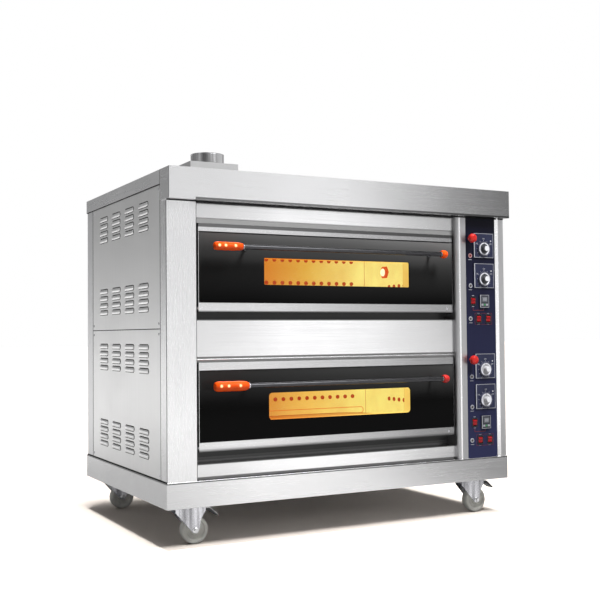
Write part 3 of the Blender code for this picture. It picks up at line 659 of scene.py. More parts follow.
for key, name, colour, *looks in (
    ("shade", "louvre_shadow", (0.035, 0.035, 0.035), 0.7, 420.0, 0.05, 0.8, 0.1),
    # A near-black for strips of painted shade at the joints and along the top of the glass.
    ("gap", "dark_gap", (0.012, 0.012, 0.013), 0.7, 420.0, 0.05, 0.8, 0.1),
    ("nylon", "nylon", (0.88, 0.87, 0.81), 0.42, 260.0, 0.08, 0.82),
    ("black", "black_paint", (0.012, 0.012, 0.013), 0.35),
    ("plate", "plate_navy", PLATE_NAVY, 0.36, 500.0, 0.03, 0.9, 0.25),
    ("print", "print_grey", (0.42, 0.43, 0.47), 0.45),
    ("white", "print_white", (0.78, 0.78, 0.82), 0.4),
    ("orange", "grip_orange", (0.92, 0.088, 0.004), 0.2, 500.0, 0.02, 0.92, 0.18),
    ("red", "knob_red", (0.56, 0.018, 0.014), 0.24, 500.0, 0.02, 0.85, 0.35),
    ("rocker", "rocker_red", (0.36, 0.009, 0.014), 0.3, 500.0, 0.02, 0.85, 0.3),
    ("red_line", "print_red", (0.16, 0.012, 0.016), 0.45),
    ("timer", "timer_case", (0.03, 0.032, 0.045), 0.35),
    ("lcd", "timer_window", (0.17, 0.18, 0.2), 0.25),
    ("green", "timer_green", (0.05, 0.28, 0.1), 0.35),
    ("gasket", "gasket", (0.045, 0.044, 0.042), 0.75, 700.0, 0.3),
    ("ring_pink", "lamp_ring_pink", (0.55, 0.3, 0.3), 0.35),
    ("eye_red", "lamp_eye_red", (0.18, 0.012, 0.012), 0.15),
    ("eye_dark", "lamp_eye_dark", (0.06, 0.045, 0.045), 0.2),
):
    MAT[key] = plastic(name, colour, *looks)
MAT["navy"] = painted("navy_panel", (0.026, 0.029, 0.078), (0.004, 0.004, 0.011), 0.38)
# The ports, the burner's outline and the chamber's corner line carry painted glow; lamp_red and lamp_pale sit on
# the chamber lamp's rim and lens.
for key, name, colour, strength in (
    ("port", "chamber_port_painted_glow", (0.46, 0.034, 0.004), 0.7),
    ("outline", "burner_painted_glow_edge", (0.72, 0.16, 0.012), 0.85),
    ("lamp_red", "lamp_red", (0.6, 0.05, 0.006), 0.9),
    ("lamp_pale", "lamp_pale", (1.0, 0.93, 0.68), 1.1),
):
    MAT[key] = glow(name, colour, strength)

# ---------------------------------------------------------------- CAD nodes


def dress_frame():
    for node, mat in (
        ("hood_fascia", "fascia"), ("hood_cover", "hood"), ("base_plinth", "plinth"), ("flue", "flue_box"),
        ("left_post", "post"), ("right_post", "column"), ("back_panel", "back"), ("control_trim", "trim"),
        ("control_panel", "navy"), ("front_strip_top", "top"), ("front_strip_middle", "mid"),
        ("front_strip_bottom", "low"),
    ):
        dress(node, MAT[mat])
    for deck in DECKS:
        for side in ("left", "right"):
            dress(f"side_{side}_{deck}", MAT["side"])
        a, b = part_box(f"hearth_{deck}")
        z = low(f"door_frame_{deck}").z
        spans = ((0, a.x - 0.0012, b.x + 0.0012), (1, low(f"chamber_liner_{deck}").y + 0.001, b.y + 0.0012),
                 (2, z + 0.0295, z + 0.2465))
        dress(f"chamber_liner_{deck}", chamber_sheet(f"chamber_sheet_{deck}", deck, spans))
        # The hearth's top carries the same painted glow, a little weaker.
        spans = ((1, a.y + 0.001, 1.0), (2, b.z - 0.0005, EVERYWHERE))
        dress(f"hearth_{deck}", chamber_sheet(f"hearth_plate_{deck}", deck, spans, 0.72))
        dress(f"burner_tube_{deck}", tube_painted_glow(f"burner_tube_{deck}", deck))
        dress(f"timer_{deck}", MAT["timer"])
        dress(f"door_frame_{deck}", frame_steel(f"steel_door_{deck}", deck))
        dress(f"door_glass_{deck}", door_glass(f"black_glass_{deck}", deck))
        dress(f"pull_knob_{deck}", MAT["red"])
        bowl = (0.035, 0.037, 0.045) if deck == "upper" else (0.42, 0.42, 0.44)
        for n in (1, 2):
            dress(f"thermostat_{deck}_{n}", MAT["plate"])
            axis = Vector(JOINTS[f"dial_{deck}_{n}_turn"]["pos_m"])
            dress(f"dial_{deck}_{n}", dial_face(f"dial_{deck}_{n}", axis, bowl, (0.8, 0.8, 0.86)))
        for n in (1, 2, 3):
            dress(f"rocker_{deck}_{n}", MAT["rocker"])
    for corner in CORNERS:
        dress(f"caster_fork_{corner}", MAT["zinc"])
        if corner.startswith("front"):
            dress(f"brake_pedal_{corner}", MAT["black"])


# ---------------------------------------------------------------- side louvres

LOUVRE_L = 0.099
LOUVRE_H = 0.0172
LOUVRE_OUT = 0.0027


def louvre(tabs, lines, x, out, y, z):
    """One pressed louvre: a raised tab with a round front end, and the dark lines of painted shadow around it."""
    r = LOUVRE_H / 2
    rear, front = y + LOUVRE_L / 2, y - LOUVRE_L / 2 + r
    path = [(rear - 0.01, z + r)] + arc((front, z), r, 90, 215, 8)
    slab(lines, ribbon(path, 0.0032), "x", x, x + out * 0.0005)
    path = arc((front, z), r, 222, 270, 4) + [(rear - 0.004, z - r)]
    slab(lines, ribbon(path, 0.0018), "x", x, x + out * 0.0005)
    rows = 7
    columns = 13
    grid = []
    for i in range(columns):
        share = i / (columns - 1)
        along = rear - share * (rear - front + r * 0.75)
        past = max((front - along) / r, 0.0)
        half = (r - 0.0016) * math.sqrt(max(1 - past * past, 0.02))
        fade = min(share / 0.12, 1.0) * min((1 - share) / 0.1 + 0.15, 1.0)
        row = []
        for j in range(rows):
            v = j / (rows - 1)
            bulge = math.sin(math.pi * min(v * 0.85 + 0.15, 1.0)) ** 0.6 if v < 1 else 0.0
            lift = 0.0003 + LOUVRE_OUT * bulge * (0.25 + 0.75 * fade)
            row.append((x + out * lift, along, z - half + 2 * half * v))
        grid.append(row)
    skin(tabs, grid, x)


def skin(bm, grid, x):
    """A closed shell over a grid of points, with a flat back at x."""
    top = [[bm.verts.new(p) for p in row] for row in grid]
    back = [[bm.verts.new((x, p[1], p[2])) for p in row] for row in grid]
    rows, columns = len(grid), len(grid[0])
    for i in range(rows - 1):
        for j in range(columns - 1):
            bm.faces.new((top[i][j], top[i + 1][j], top[i + 1][j + 1], top[i][j + 1]))
            bm.faces.new((back[i][j], back[i][j + 1], back[i + 1][j + 1], back[i + 1][j]))
    rim = [(i, 0) for i in range(rows)] + [(rows - 1, j) for j in range(1, columns)]
    rim += [(i, columns - 1) for i in range(rows - 2, -1, -1)] + [(0, j) for j in range(columns - 2, 0, -1)]
    for n, (i, j) in enumerate(rim):
        p, q = rim[(n + 1) % len(rim)]
        bm.faces.new((top[i][j], back[i][j], back[p][q], top[p][q]))


def slot_middles(node, axis):
    """Middles of a side panel's slots along one axis, from its own corner points."""
    a, b = low(node)[axis] + 0.005, high(node)[axis] - 0.005
    marks = sorted({round(v.co[axis], 4) for v in frame["nodes"][node].data.vertices if a < v.co[axis] < b})
    return [(p + q) / 2 for p, q in zip(marks[::2], marks[1::2])]


def louvres():
    for side, out in (("left", -1), ("right", 1)):
        for deck in DECKS:
            node = f"side_{side}_{deck}"
            x = low(node).x if out < 0 else high(node).x
            tabs, lines = bmesh.new(), bmesh.new()
            for y in slot_middles(node, 1):
                for z in slot_middles(node, 2):
                    louvre(tabs, lines, x, out, y, z)
            piece(f"louvres_{side}_{deck}", tabs, MAT["louvre"], "cabinet", 40)
            piece(f"louvre_shadow_lines_{side}_{deck}", lines, MAT["shade"], "cabinet")
            screws = bmesh.new()
            for y in (low(node).y + 0.014, high(node).y - 0.014):
                for z in (low(node).z + 0.016, high(node).z - (0.058 if deck == "upper" else 0.016)):
                    spun(screws, [(0, 0.0), (0, 0.0048), (out * 0.001, 0.0042), (out * 0.0015, 0.002),
                                  (out * 0.0015, 0.0)], "x", Vector((x, y, z)), 20)
            piece(f"panel_screws_{side}_{deck}", screws, MAT["zinc"], "cabinet", 40)


def shade_lines():
    """Dark strips of painted shade at the joints: panel edges, the split, the hood's lower edge and the plinth's
    top.
    """
    bm = bmesh.new()
    top = high("base_plinth").z
    hem = COVER[0].z
    post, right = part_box("left_post"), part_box("right_post")
    for i, out in ((0, -1), (1, 1)):
        side = ("left", "right")[i]
        lower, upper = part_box(f"side_{side}_lower"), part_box(f"side_{side}_upper")
        face = lower[i].x

        def line(y0, y1, z0, z1, thick=0.0005):
            block(bm, (min(face, face + out * thick), y0, z0), (max(face, face + out * thick), y1, z1))

        line(lower[0].y - 0.002, lower[0].y + 0.0014, top, hem)
        line(lower[1].y - 0.001, lower[1].y + 0.0016, top, hem)
        line(lower[0].y, lower[1].y, lower[1].z - 0.0004, upper[0].z + 0.0004)
        line(post[0].y + 0.0006, post[0].y + 0.0046, top, FASCIA[0].z, 0.0003)
        line(COVER[0].y, COVER[1].y - 0.001, hem - 0.002, hem - 0.0003, abs(COVER[i].x - face) - 0.0002)
        line(post[0].y, COVER[1].y - 0.003, top + 0.0002, top + 0.0036, 0.001)
    skin_y = post[0].y - 0.0001
    block(bm, (max(post[0].x - 0.0004, FASCIA[0].x), post[0].y + 0.001, top + 0.003),
          (post[0].x + 0.0001, post[0].y + 0.0044, FASCIA[0].z - 0.003))
    under = FASCIA[0].z - 0.0034
    block(bm, (post[0].x, post[0].y - 0.0012, under), (right[1].x, skin_y, FASCIA[0].z - 0.0003))
    block(bm, (post[1].x - 0.0014, post[0].y - 0.0004, top + 0.001), (post[1].x, skin_y, under))
    piece("painted_shade_strips", bm, MAT["gap"], "cabinet")
    # A bright bead on the plinth's top edge in the lighter steel: a painted highlight.
    bead = bmesh.new()
    block(bead, (FASCIA[0].x + 0.0002, post[0].y - 0.0042, top - 0.0002),
          (FASCIA[1].x - 0.0002, post[0].y - 0.0012, top + 0.0008), 0.0004)
    piece("plinth_highlight_bead", bead, MAT["edge"], "cabinet")


def front_beads():
    """Plain faces in the channels above and below each door, in greys of painted shade, and one rounded ledge in a
    darker copy of the steel, painted shade too.
    """
    x0, x1 = STRIPS["top"][0].x + 0.0003, STRIPS["top"][1].x - 0.0003
    gap = 0.0002    # from a channel face to the strip beside it
    for deck, over, beneath in (("lower", "middle", "bottom"), ("upper", "top", "middle")):
        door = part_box(f"door_frame_{deck}")
        base = STRIPS[beneath][1].z
        bottom = door[0].z - 0.0004
        front = door[0].y + 0.003
        back = low(f"chamber_liner_{deck}").y - 0.0014
        above = "channel_shade_pale" if deck == "upper" else "groove"
        rows = [(door[1].z + 0.0007, STRIPS[over][0].z - gap, front, above)]
        if deck == "upper":
            rows.append((base + gap, bottom, back, "channel_shade_dark"))
        else:
            rows.append((base + gap, base + 0.007, back, "groove_low"))
            rows.append((base + 0.007, base + 0.016, back, "channel_shade_dim"))
            rows.append((base + 0.016, bottom, back, "channel_shade_dark"))
        for n, (z0, z1, at, mat) in enumerate(rows):
            bm = bmesh.new()
            block(bm, (x0, at, z0), (x1, at + 0.0011, z1), 0.0002)
            piece(f"channel_{deck}_{n}", bm, MAT[mat], "cabinet")
    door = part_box("door_frame_lower")
    bm = bmesh.new()
    profile = [(0, 0.0), (0, 0.003), (x1 - x0, 0.003), (x1 - x0, 0.0)]
    spun(bm, profile, "x", Vector((x0, door[0].y + 0.003, door[1].z + 0.0098)), 20)
    piece("channel_ledge", bm, MAT["bead"], "cabinet", 50)
    bm = bmesh.new()
    top, strip_low = high("base_plinth").z, STRIPS["bottom"][0]
    block(bm, (x0, strip_low.y + 0.0016, top + gap), (x1, strip_low.y + 0.0027, strip_low.z - gap), 0.0002)
    piece("channel_plinth", bm, MAT["groove"], "cabinet")


# ---------------------------------------------------------------- doors


def lobes(t, marks):
    """How far round a finger swell a point lies: 0 in a valley, 1 on a crest."""
    for a, b in zip(marks, marks[1:]):
        if a <= t <= b:
            return math.sin(math.pi * (t - a) / (b - a)) ** 0.7
    return 0.0


def grip_painted_glints(deck, axis, start, length, radius):
    """Grip plastic with three small painted highlights along its front, which also glow."""
    s = Shader(f"grip_orange_{deck}", Specular_IOR_Level=0.18, Emission_Color=(1.0, 0.72, 0.3, 1))
    where = s.axes()
    fine = s.noise(500.0)
    tint = s.blend(s.rise(s.noise(26.0)), (0.85, 0.08, 0.004, 1), (0.98, 0.094, 0.005, 1))
    share = 0.0
    # Painted highlights: three pale spots that glow a little.
    for t in (0.14, 0.36, 0.71):
        away = s.away(where, start + length * t, axis.z + radius * 0.1)
        share = s.math("MAXIMUM", s.fall(away, 0.0012, 0.0062), share)
    share = s.times(share, s.math("LESS_THAN", where[1], axis.y))
    s.colour(s.blend(share, tint, (1.0, 0.86, 0.42, 1)))
    s.link("Emission Strength", s.times(share, 0.75))
    s.roughness(s.spread(fine, 0.16, 0.26))
    s.bump(fine, 0.02)
    return s.mat


def grip(deck):
    """The moulded left grip: low finger swells and a short taper on to the bar."""
    a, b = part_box(f"handle_grip_{deck}")
    axis = Vector((0, (a.y + b.y) / 2, (a.z + b.z) / 2))
    radius = (b.z - a.z) / 2
    length = b.x - a.x
    marks = (0.0, 0.24, 0.5, 0.86, 1.0)
    profile = [(a.x, 0.0), (a.x, radius * 0.66), (a.x + 0.0012, radius * 0.82)]
    steps = 56
    for n in range(steps + 1):
        t = n / steps
        along = a.x + 0.0035 + (length - 0.005) * t
        taper = 1.0 - 0.26 * max((t - 0.8) / 0.2, 0.0) ** 1.8
        grown = min(t / 0.05 * 0.1 + 0.9, 1.0)
        profile.append((along, radius * taper * grown * (0.955 + 0.045 * lobes(t, marks))))
    profile.append((b.x, 0.011))
    profile.append((b.x, 0.0))
    bm = bmesh.new()
    spun(bm, profile, "x", axis, 64)
    obj = piece(f"grip_{deck}", bm, grip_painted_glints(deck, axis, a.x, length, radius), f"door_{deck}", 60)
    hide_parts(f"handle_grip_{deck}")
    return axis


def cap(deck, axis):
    a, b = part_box(f"handle_cap_{deck}")
    r = (b.z - a.z) / 2
    profile = [(a.x, 0.0), (a.x, r * 0.74)]
    for n in range(17):
        t = n / 16
        swell = math.sin(math.pi * (0.2 + 0.66 * t))
        profile.append((a.x + 0.0006 + (b.x - a.x - 0.0012) * t, r * (0.6 + 0.4 * swell)))
    profile.append((b.x, r * 0.55))
    profile.append((b.x, 0.0))
    bm = bmesh.new()
    spun(bm, profile, "x", axis, 48)
    mat = MAT["orange" if deck == "upper" else "red"]
    obj = piece(f"grip_cap_{deck}", bm, mat, f"door_{deck}", 60)
    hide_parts(f"handle_cap_{deck}")
    grip_end = high(f"handle_grip_{deck}").x
    for p, q, side in ((a.x - 0.003, a.x - 0.0006, "right"), (grip_end + 0.0006, grip_end + 0.0056, "left")):
        ring = bmesh.new()
        run = q - p
        spun(ring, [(p, 0.0083), (p, 0.009), (p + run * 0.2, 0.0096), (q - run * 0.2, 0.0096), (q, 0.009),
                    (q, 0.0083)], "x", axis, 48)
        piece(f"ferrule_{side}_{deck}", ring, MAT["zinc"], f"door_{deck}", 50)


ROD_R = 0.0082
STANDOFF_R = 0.0054
FOOT_R = 0.0086     # where a standoff meets the door


def bar(deck, axis):
    """A rounder, thinner rod and its two standoffs, in place of the faceted ones."""
    a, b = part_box(f"handle_rod_{deck}")
    points = [v.co for v in frame["nodes"][f"handle_rod_{deck}"].data.vertices if v.co.y > b.y - 0.0002]
    half = (a.x + b.x) / 2
    bm = bmesh.new()
    spun(bm, [(a.x, 0.0), (a.x, ROD_R), (b.x, ROD_R), (b.x, 0.0)], "x", axis, 48)
    run = b.y - axis.y
    for side in (min, max):
        near = [p.x for p in points if side(p.x, half) == p.x]
        at = Vector(((min(near) + max(near)) / 2, axis.y, axis.z))
        profile = [
            (0.0, 0.0), (0.0, STANDOFF_R), (run - 0.004, STANDOFF_R), (run - 0.0036, FOOT_R - 0.0008),
            (run - 0.0026, FOOT_R), (run, FOOT_R), (run, 0.0),
        ]
        spun(bm, profile, "y", at, 40)
    obj = piece(f"bar_{deck}", bm, MAT["rod"], f"door_{deck}", 40)
    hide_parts(f"handle_rod_{deck}")


def door_detail(deck):
    frame_low, frame_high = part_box(f"door_frame_{deck}")
    glass_low, glass_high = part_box(f"door_glass_{deck}")
    body = f"door_{deck}"
    face = frame_low.y
    screws = bmesh.new()
    at = Vector((frame_high.x - 0.03, face, frame_low.z + 0.0145))
    spun(screws, [(0.0002, 0.0), (0.0002, 0.0042), (-0.0008, 0.0038), (-0.0011, 0.0018), (-0.0011, 0.0)],
         "y", at, 24)
    piece(f"rail_screw_{deck}", screws, MAT["zinc"], body, 40)
    # A dark strip of painted shade along the top of the glass.
    dark = bmesh.new()
    z = glass_high.z + 0.0003
    block(dark, (glass_low.x, face + 0.0002, z), (glass_high.x, face + 0.006, z + 0.0026))
    piece(f"glass_top_shade_{deck}", dark, MAT["gap"], body)
    pane = bmesh.new()
    a, b = WINDOWS[deck]
    block(pane, (a.x + 0.001, frame_high.y - 0.006, a.z + 0.001),
          (b.x - 0.001, frame_high.y - 0.003, b.z - 0.001), 0.0006)
    clear = Shader(f"inner_pane_{deck}", Alpha=0.05, Specular_IOR_Level=0.2)
    clear.roughness(clear.spread(clear.noise(40.0, 3.0), 0.02, 0.06))
    clear.colour(clear.blend(clear.rise(clear.noise(12.0, 3.0)), (0.9, 0.6, 0.3, 1), (1, 0.75, 0.45, 1)))
    piece(f"inner_pane_{deck}", pane, clear.mat, body)


# Heights above the foot of the door, starts and spacings of the round ports
PORT_ROWS = {"upper": (0.225, 0.133), "lower": (0.199, 0.116)}
PORT_PITCH = 0.0359
WALL_ROW = 0.113
WALL_START = {"upper": -0.159, "lower": -0.15}
WALL_PITCH = 0.0356
BURNER_END = (0.4, 0.0585)   # x of the burner's bend, and its height above the foot of the door
BURNER_R = 0.0125


def chamber_detail(deck):
    """Seal round the mouth, the rows of ports and a corner line in painted glow, the burner's outline in painted
    glow, and the lamp of the upper chamber.
    """
    hearth_low, hearth_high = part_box(f"hearth_{deck}")
    door_z = low(f"door_frame_{deck}").z
    mouth = low(f"chamber_liner_{deck}").y
    back, right, left = hearth_high.y + 0.0004, hearth_high.x + 0.0004, hearth_low.x - 0.0004
    ports = bmesh.new()
    profile = [
        (0.0, 0.0), (0.0, 0.0085), (-0.0025, 0.008), (-0.003, 0.006), (-0.0014, 0.0052), (-0.0014, 0.0),
    ]
    for up in PORT_ROWS[deck]:
        x = left + 0.0135
        while x < right - 0.04:
            spun(ports, profile, "y", Vector((x, back, door_z + up)), 20)
            x += PORT_PITCH
    for k in range(5):
        spun(ports, profile, "x", Vector((right, WALL_START[deck] + WALL_PITCH * k, door_z + WALL_ROW)), 20)
    piece(f"ports_{deck}", ports, MAT["port"], "cabinet", 40)
    edge = bmesh.new()
    x, z = BURNER_END[0], door_z + BURNER_END[1]
    path = [(left + 0.04, z + BURNER_R)] + arc((x, z), BURNER_R, 90, -90, 10) + [(left + 0.04, z - BURNER_R)]
    slab(edge, ribbon(path, 0.0026), "y", back - 0.0016, back - 0.0002)
    piece(f"burner_painted_glow_edge_{deck}", edge, MAT["outline"], "cabinet")
    seal = bmesh.new()
    z0, z1 = door_z + 0.031, door_z + 0.245
    rim, wide = 0.017, 0.01
    frame_outline(seal, (left - rim, z0 - rim), (right + rim, z1 + rim), (wide, wide),
                  mouth - 0.0022, mouth - 0.0001, 0.0009)
    piece(f"door_seal_{deck}", seal, MAT["gasket"], "cabinet")
    corner = bmesh.new()
    block(corner, (right - 0.0012, back - 0.0012, hearth_high.z), (right, back, z1), 0.0002)
    piece(f"chamber_corner_{deck}", corner, MAT["port"], "cabinet")
    if deck == "upper":
        at = Vector((right - 0.0002, 0.012, door_z + 0.1735))
        rim = bmesh.new()
        spun(rim, [(0.0, 0.0), (0.0, 0.027), (-0.006, 0.027), (-0.009, 0.024), (-0.009, 0.0)], "x", at, 6)
        piece("chamber_lamp_rim", rim, MAT["lamp_red"], "cabinet")
        lens = bmesh.new()
        profile = [(-0.0085, 0.0), (-0.0085, 0.016), (-0.012, 0.014), (-0.014, 0.008), (-0.0145, 0.0)]
        spun(lens, profile, "x", at + Vector((0, 0.004, 0)), 32)
        piece("chamber_lamp_lens", lens, MAT["lamp_pale"], "cabinet", 60)


# ---------------------------------------------------------------- controls


PRINT = 0.00002     # air between a printed mark and the face behind it
LIP = 0.0001        # the same for a raised piece
DIAL_TURN = 30      # degrees between two marks of a dial


def plate_border(bm, a, b, inset, wide, left):
    """A thin printed border inside a plate's face, with a thicker bar at its left in the same grey: a painted
    highlight.
    """
    p, q = (a.x + inset, a.z + inset), (b.x - inset, b.z - inset)
    frame_outline(bm, p, q, (wide, wide), a.y - 0.0003, a.y)
    block(bm, (p[0], a.y - 0.0006, p[1]), (a.x + left, a.y - LIP, q[1]), 0.0001)


def dial_mark(k):
    """Direction of a dial's mark number k, from 0 at the lower left."""
    turn = math.radians(240 - DIAL_TURN * k)
    return Vector((math.cos(turn), 0, math.sin(turn)))


def thermostat_detail(deck, n):
    a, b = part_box(f"thermostat_{deck}_{n}")
    axis = Vector(JOINTS[f"dial_{deck}_{n}_turn"]["pos_m"])
    y = a.y
    border = bmesh.new()
    plate_border(border, a, b, 0.0006, 0.0016, 0.0046)
    piece(f"plate_border_{deck}_{n}", border, MAT["print"], "cabinet")
    ticks = bmesh.new()
    for k in range(11):
        run = dial_mark(k)
        across = Vector((-run.z, 0, run.x)) * 0.0005
        p, q = axis + run * 0.0298, axis + run * 0.0326
        corners = [p - across, p + across, q + across, q - across]
        slab(ticks, [(c.x, c.z) for c in corners], "y", y - 0.0003, y - PRINT)
    spun(ticks, [(-0.0002, 0.0), (-0.0002, 0.0026), (-0.0006, 0.0024), (-0.0006, 0.0)], "y",
         Vector((axis.x + 0.0335, y, axis.z + 0.03)), 20)
    piece(f"dial_scale_{deck}_{n}", ticks, MAT["white"], "cabinet")
    for k, words in ((0, "0"), (3, "100"), (5, "200"), (7, "300")):
        at = axis + dial_mark(k) * 0.0375
        at.y = y - 0.0002
        text(f"dial_number_{deck}_{n}_{words}", words, 0.0075, at, MAT["print"], "cabinet")


def lamp(name, x, z, ring, core):
    y = PANEL[0].y
    at = Vector((x, y, z))
    rim = bmesh.new()
    spun(rim, [(-0.0001, 0.0046), (-0.0001, 0.0084), (-0.0012, 0.0084), (-0.0024, 0.0076),
               (-0.0024, 0.0052), (-0.001, 0.0046)], "y", at, 32)
    piece(f"{name}_ring", rim, ring, "cabinet", 50)
    eye = bmesh.new()
    spun(eye, [(-0.0001, 0.0), (-0.0001, 0.0047), (-0.0014, 0.0043), (-0.0024, 0.0024), (-0.0027, 0.0)],
         "y", at, 24)
    piece(f"{name}_eye", eye, core, "cabinet", 60)


def timer_detail(deck):
    a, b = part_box(f"timer_{deck}")
    y, x = a.y, (a.x + b.x) / 2
    border = bmesh.new()
    plate_border(border, a, b, 0.0005, 0.0013, 0.0036)
    piece(f"timer_border_{deck}", border, MAT["print"], "cabinet")
    glass = bmesh.new()
    block(glass, (a.x + 0.0105, y - 0.0008, a.z + 0.0225), (b.x - 0.0085, y - 0.00005, b.z - 0.0085), 0.0003)
    piece(f"timer_window_{deck}", glass, MAT["lcd"], "cabinet")
    text(f"timer_digits_{deck}", "88", 0.0155, Vector((x + 0.001, y - 0.0011, b.z - 0.017)),
         MAT["print"], "cabinet")

    def key(bm, centre, half):
        start = (centre - half, y - 0.0014, a.z + 0.0075)
        block(bm, start, (centre + half, y - 0.00005, a.z + 0.0145), 0.0005)

    keys, green = bmesh.new(), bmesh.new()
    key(keys, x - 0.0105, 0.0045)
    key(keys, x + 0.0105, 0.0045)
    piece(f"timer_keys_{deck}", keys, MAT["print"], "cabinet")
    key(green, x, 0.0035)
    piece(f"timer_key_green_{deck}", green, MAT["green"], "cabinet")


def rocker_detail(deck, n):
    """Dark bezel round a switch, and printed ticks above and below it."""
    a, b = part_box(f"rocker_{deck}_{n}")
    pivot = Vector(JOINTS[f"rocker_{deck}_{n}_rock"]["pos_m"])
    y = PANEL[0].y
    centre = (a.x + b.x) / 2
    wide = (0.0032, 0.003)
    half_x, half_z = (b.x - a.x) / 2 + 0.0006 + wide[0], 0.0132 + wide[1]
    bezel = bmesh.new()
    frame_outline(bezel, (centre - half_x, pivot.z - half_z), (centre + half_x, pivot.z + half_z), wide,
                  y - 0.0016, y - LIP, 0.0004)
    piece(f"rocker_bezel_{deck}_{n}", bezel, MAT["black"], "cabinet")
    ticks = bmesh.new()
    for z in (pivot.z + half_z + 0.0042, pivot.z - half_z - 0.0042):
        block(ticks, (centre - 0.0052, y - 0.0002, z - 0.0009), (centre + 0.0052, y - PRINT, z + 0.0009))
    piece(f"rocker_ticks_{deck}_{n}", ticks, MAT["print"], "cabinet")


def red_lines(deck):
    """Thin printed lines that tie the switches to the timer."""
    y = PANEL[0].y
    z = low(f"door_frame_{deck}").z
    x1, x2, x3 = (middle(f"rocker_{deck}_{n}").x for n in (1, 2, 3))
    x = middle(f"timer_{deck}").x
    half = 0.0009
    lines = bmesh.new()
    for p, q, start, end in ((x1, x1, 0.0095, 0.019), (x, x, 0.0095, 0.016), (x1, x, 0.0077, 0.0095)):
        block(lines, (p - half, y - 0.0002, z + start), (q + half, y - PRINT, z + end))
    frame_outline(lines, (x2 - 0.0175, z - 0.044), (x3 + 0.0175, z - 0.002), (half, half), y - 0.0002, y)
    piece(f"switch_lines_{deck}", lines, MAT["red_line"], "cabinet")


def controls():
    x, y = PANEL[0].x, PANEL[0].y
    for deck in DECKS:
        z = low(f"door_frame_{deck}").z
        ring, eye = ("ring_pink", "eye_red") if deck == "upper" else ("print", "eye_dark")
        lamp(f"indicator_{deck}_1", x + 0.02, z + 0.212, MAT[ring], MAT[eye])
        lamp(f"indicator_{deck}_2", x + 0.02, z + 0.1, MAT["print"], MAT["eye_dark"])
        lamp(f"buzzer_{deck}", x + 0.018, z - 0.023, MAT["print"], MAT["eye_dark"])
        marks = bmesh.new()
        for up in (0.197, 0.085, -0.038):
            block(marks, (x + 0.012, y - 0.0002, z + up - 0.0009), (x + 0.027, y - PRINT, z + up + 0.0009))
        piece(f"indicator_marks_{deck}", marks, MAT["print"], "cabinet")
        timer_detail(deck)
        red_lines(deck)
        for n in (1, 2):
            thermostat_detail(deck, n)
        for n in (1, 2, 3):
            rocker_detail(deck, n)


def column_edges():
    """Slanted bright edges folded along the two columns beside the control panel, in the lighter steel: painted
    highlights.
    """
    trim_low, trim_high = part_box("control_trim")
    y = trim_low.y
    for name, x, wide, deep in (
        ("post_highlight_fold", low("right_post").x + 0.0003, 0.015, 0.002),
        ("trim_highlight_fold", trim_low.x + 0.0125, 0.006, 0.0009),
    ):
        outline = [(x, y - LIP), (x + wide, y - LIP), (x + wide, y - deep - 0.0002), (x, y - 0.0003)]
        bm = bmesh.new()
        slab(bm, outline, "z", trim_low.z, trim_high.z)
        piece(name, bm, MAT["edge"], "cabinet")


# ---------------------------------------------------------------- casters


def wheel(corner):
    a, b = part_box(f"caster_wheel_{corner}")
    joint = Vector(JOINTS[f"roll_{corner}"]["pos_m"])
    half = (b.y - a.y) / 2
    r = joint.z - 0.0002
    side = [
        (half, 0.0066), (half, 0.01), (half - 0.0012, 0.0118), (half - 0.003, 0.0165),
        (half - 0.0062, 0.0185), (half - 0.0066, 0.03), (half - 0.0048, 0.0322),
        (half - 0.0016, 0.0345), (half - 0.001, 0.0385), (half - 0.0016, 0.0425),
        (half - 0.0048, r - 0.0008), (half - 0.0075, r),
    ]
    profile = side + [(-y, radius) for y, radius in reversed(side)]
    bm = bmesh.new()
    spun(bm, profile, "y", joint, 72)
    obj = piece(f"wheel_{corner}_round", bm, MAT["nylon"], f"wheel_{corner}", 35)
    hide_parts(f"caster_wheel_{corner}")
    nuts = bmesh.new()
    washer = half + 0.0037      # from the wheel's middle to the washer on the fork's leg
    for sign in (-1, 1):
        at = joint + Vector((0, sign * washer, 0))
        for profile, sides, shift in (
            ([(0, 0.0), (0, 0.0098), (0.0016, 0.0098), (0.002, 0.009), (0.002, 0.0)], 32, 0.0),
            ([(0, 0.0), (0, 0.0078), (0.0046, 0.0078), (0.0056, 0.0064), (0.0056, 0.0)], 6, 0.0019),
        ):
            outwards = [(sign * along, radius) for along, radius in profile]
            spun(nuts, outwards, "y", at + Vector((0, sign * shift, 0)), sides)
    piece(f"axle_nuts_{corner}", nuts, MAT["bright"], f"fork_{corner}", 30)


def swivel(corner):
    joint = Vector(JOINTS[f"swivel_{corner}"]["pos_m"])
    bolt = [(0.0002, 0.0), (0.0002, 0.0068), (-0.0038, 0.0068), (-0.0046, 0.0056), (-0.0046, 0.0)]
    bolts = bmesh.new()
    for dx in (-0.039, 0.039):
        for dy in (-0.0315, 0.0315):
            spun(bolts, bolt, "z", joint + Vector((dx, dy, 0)), 6)
    piece(f"pad_bolts_{corner}", bolts, MAT["black"], "cabinet", 30)
    # A black ring of painted shade in the swivel's gap.
    swivel_gap = bmesh.new()
    ring = [
        (-0.0006, 0.0262), (-0.0006, 0.03), (-0.0022, 0.0312), (-0.0046, 0.0306), (-0.006, 0.029), (-0.006, 0.0262),
    ]
    spun(swivel_gap, ring, "z", joint)
    piece(f"swivel_shade_ring_{corner}", swivel_gap, MAT["black"], f"fork_{corner}", 50)


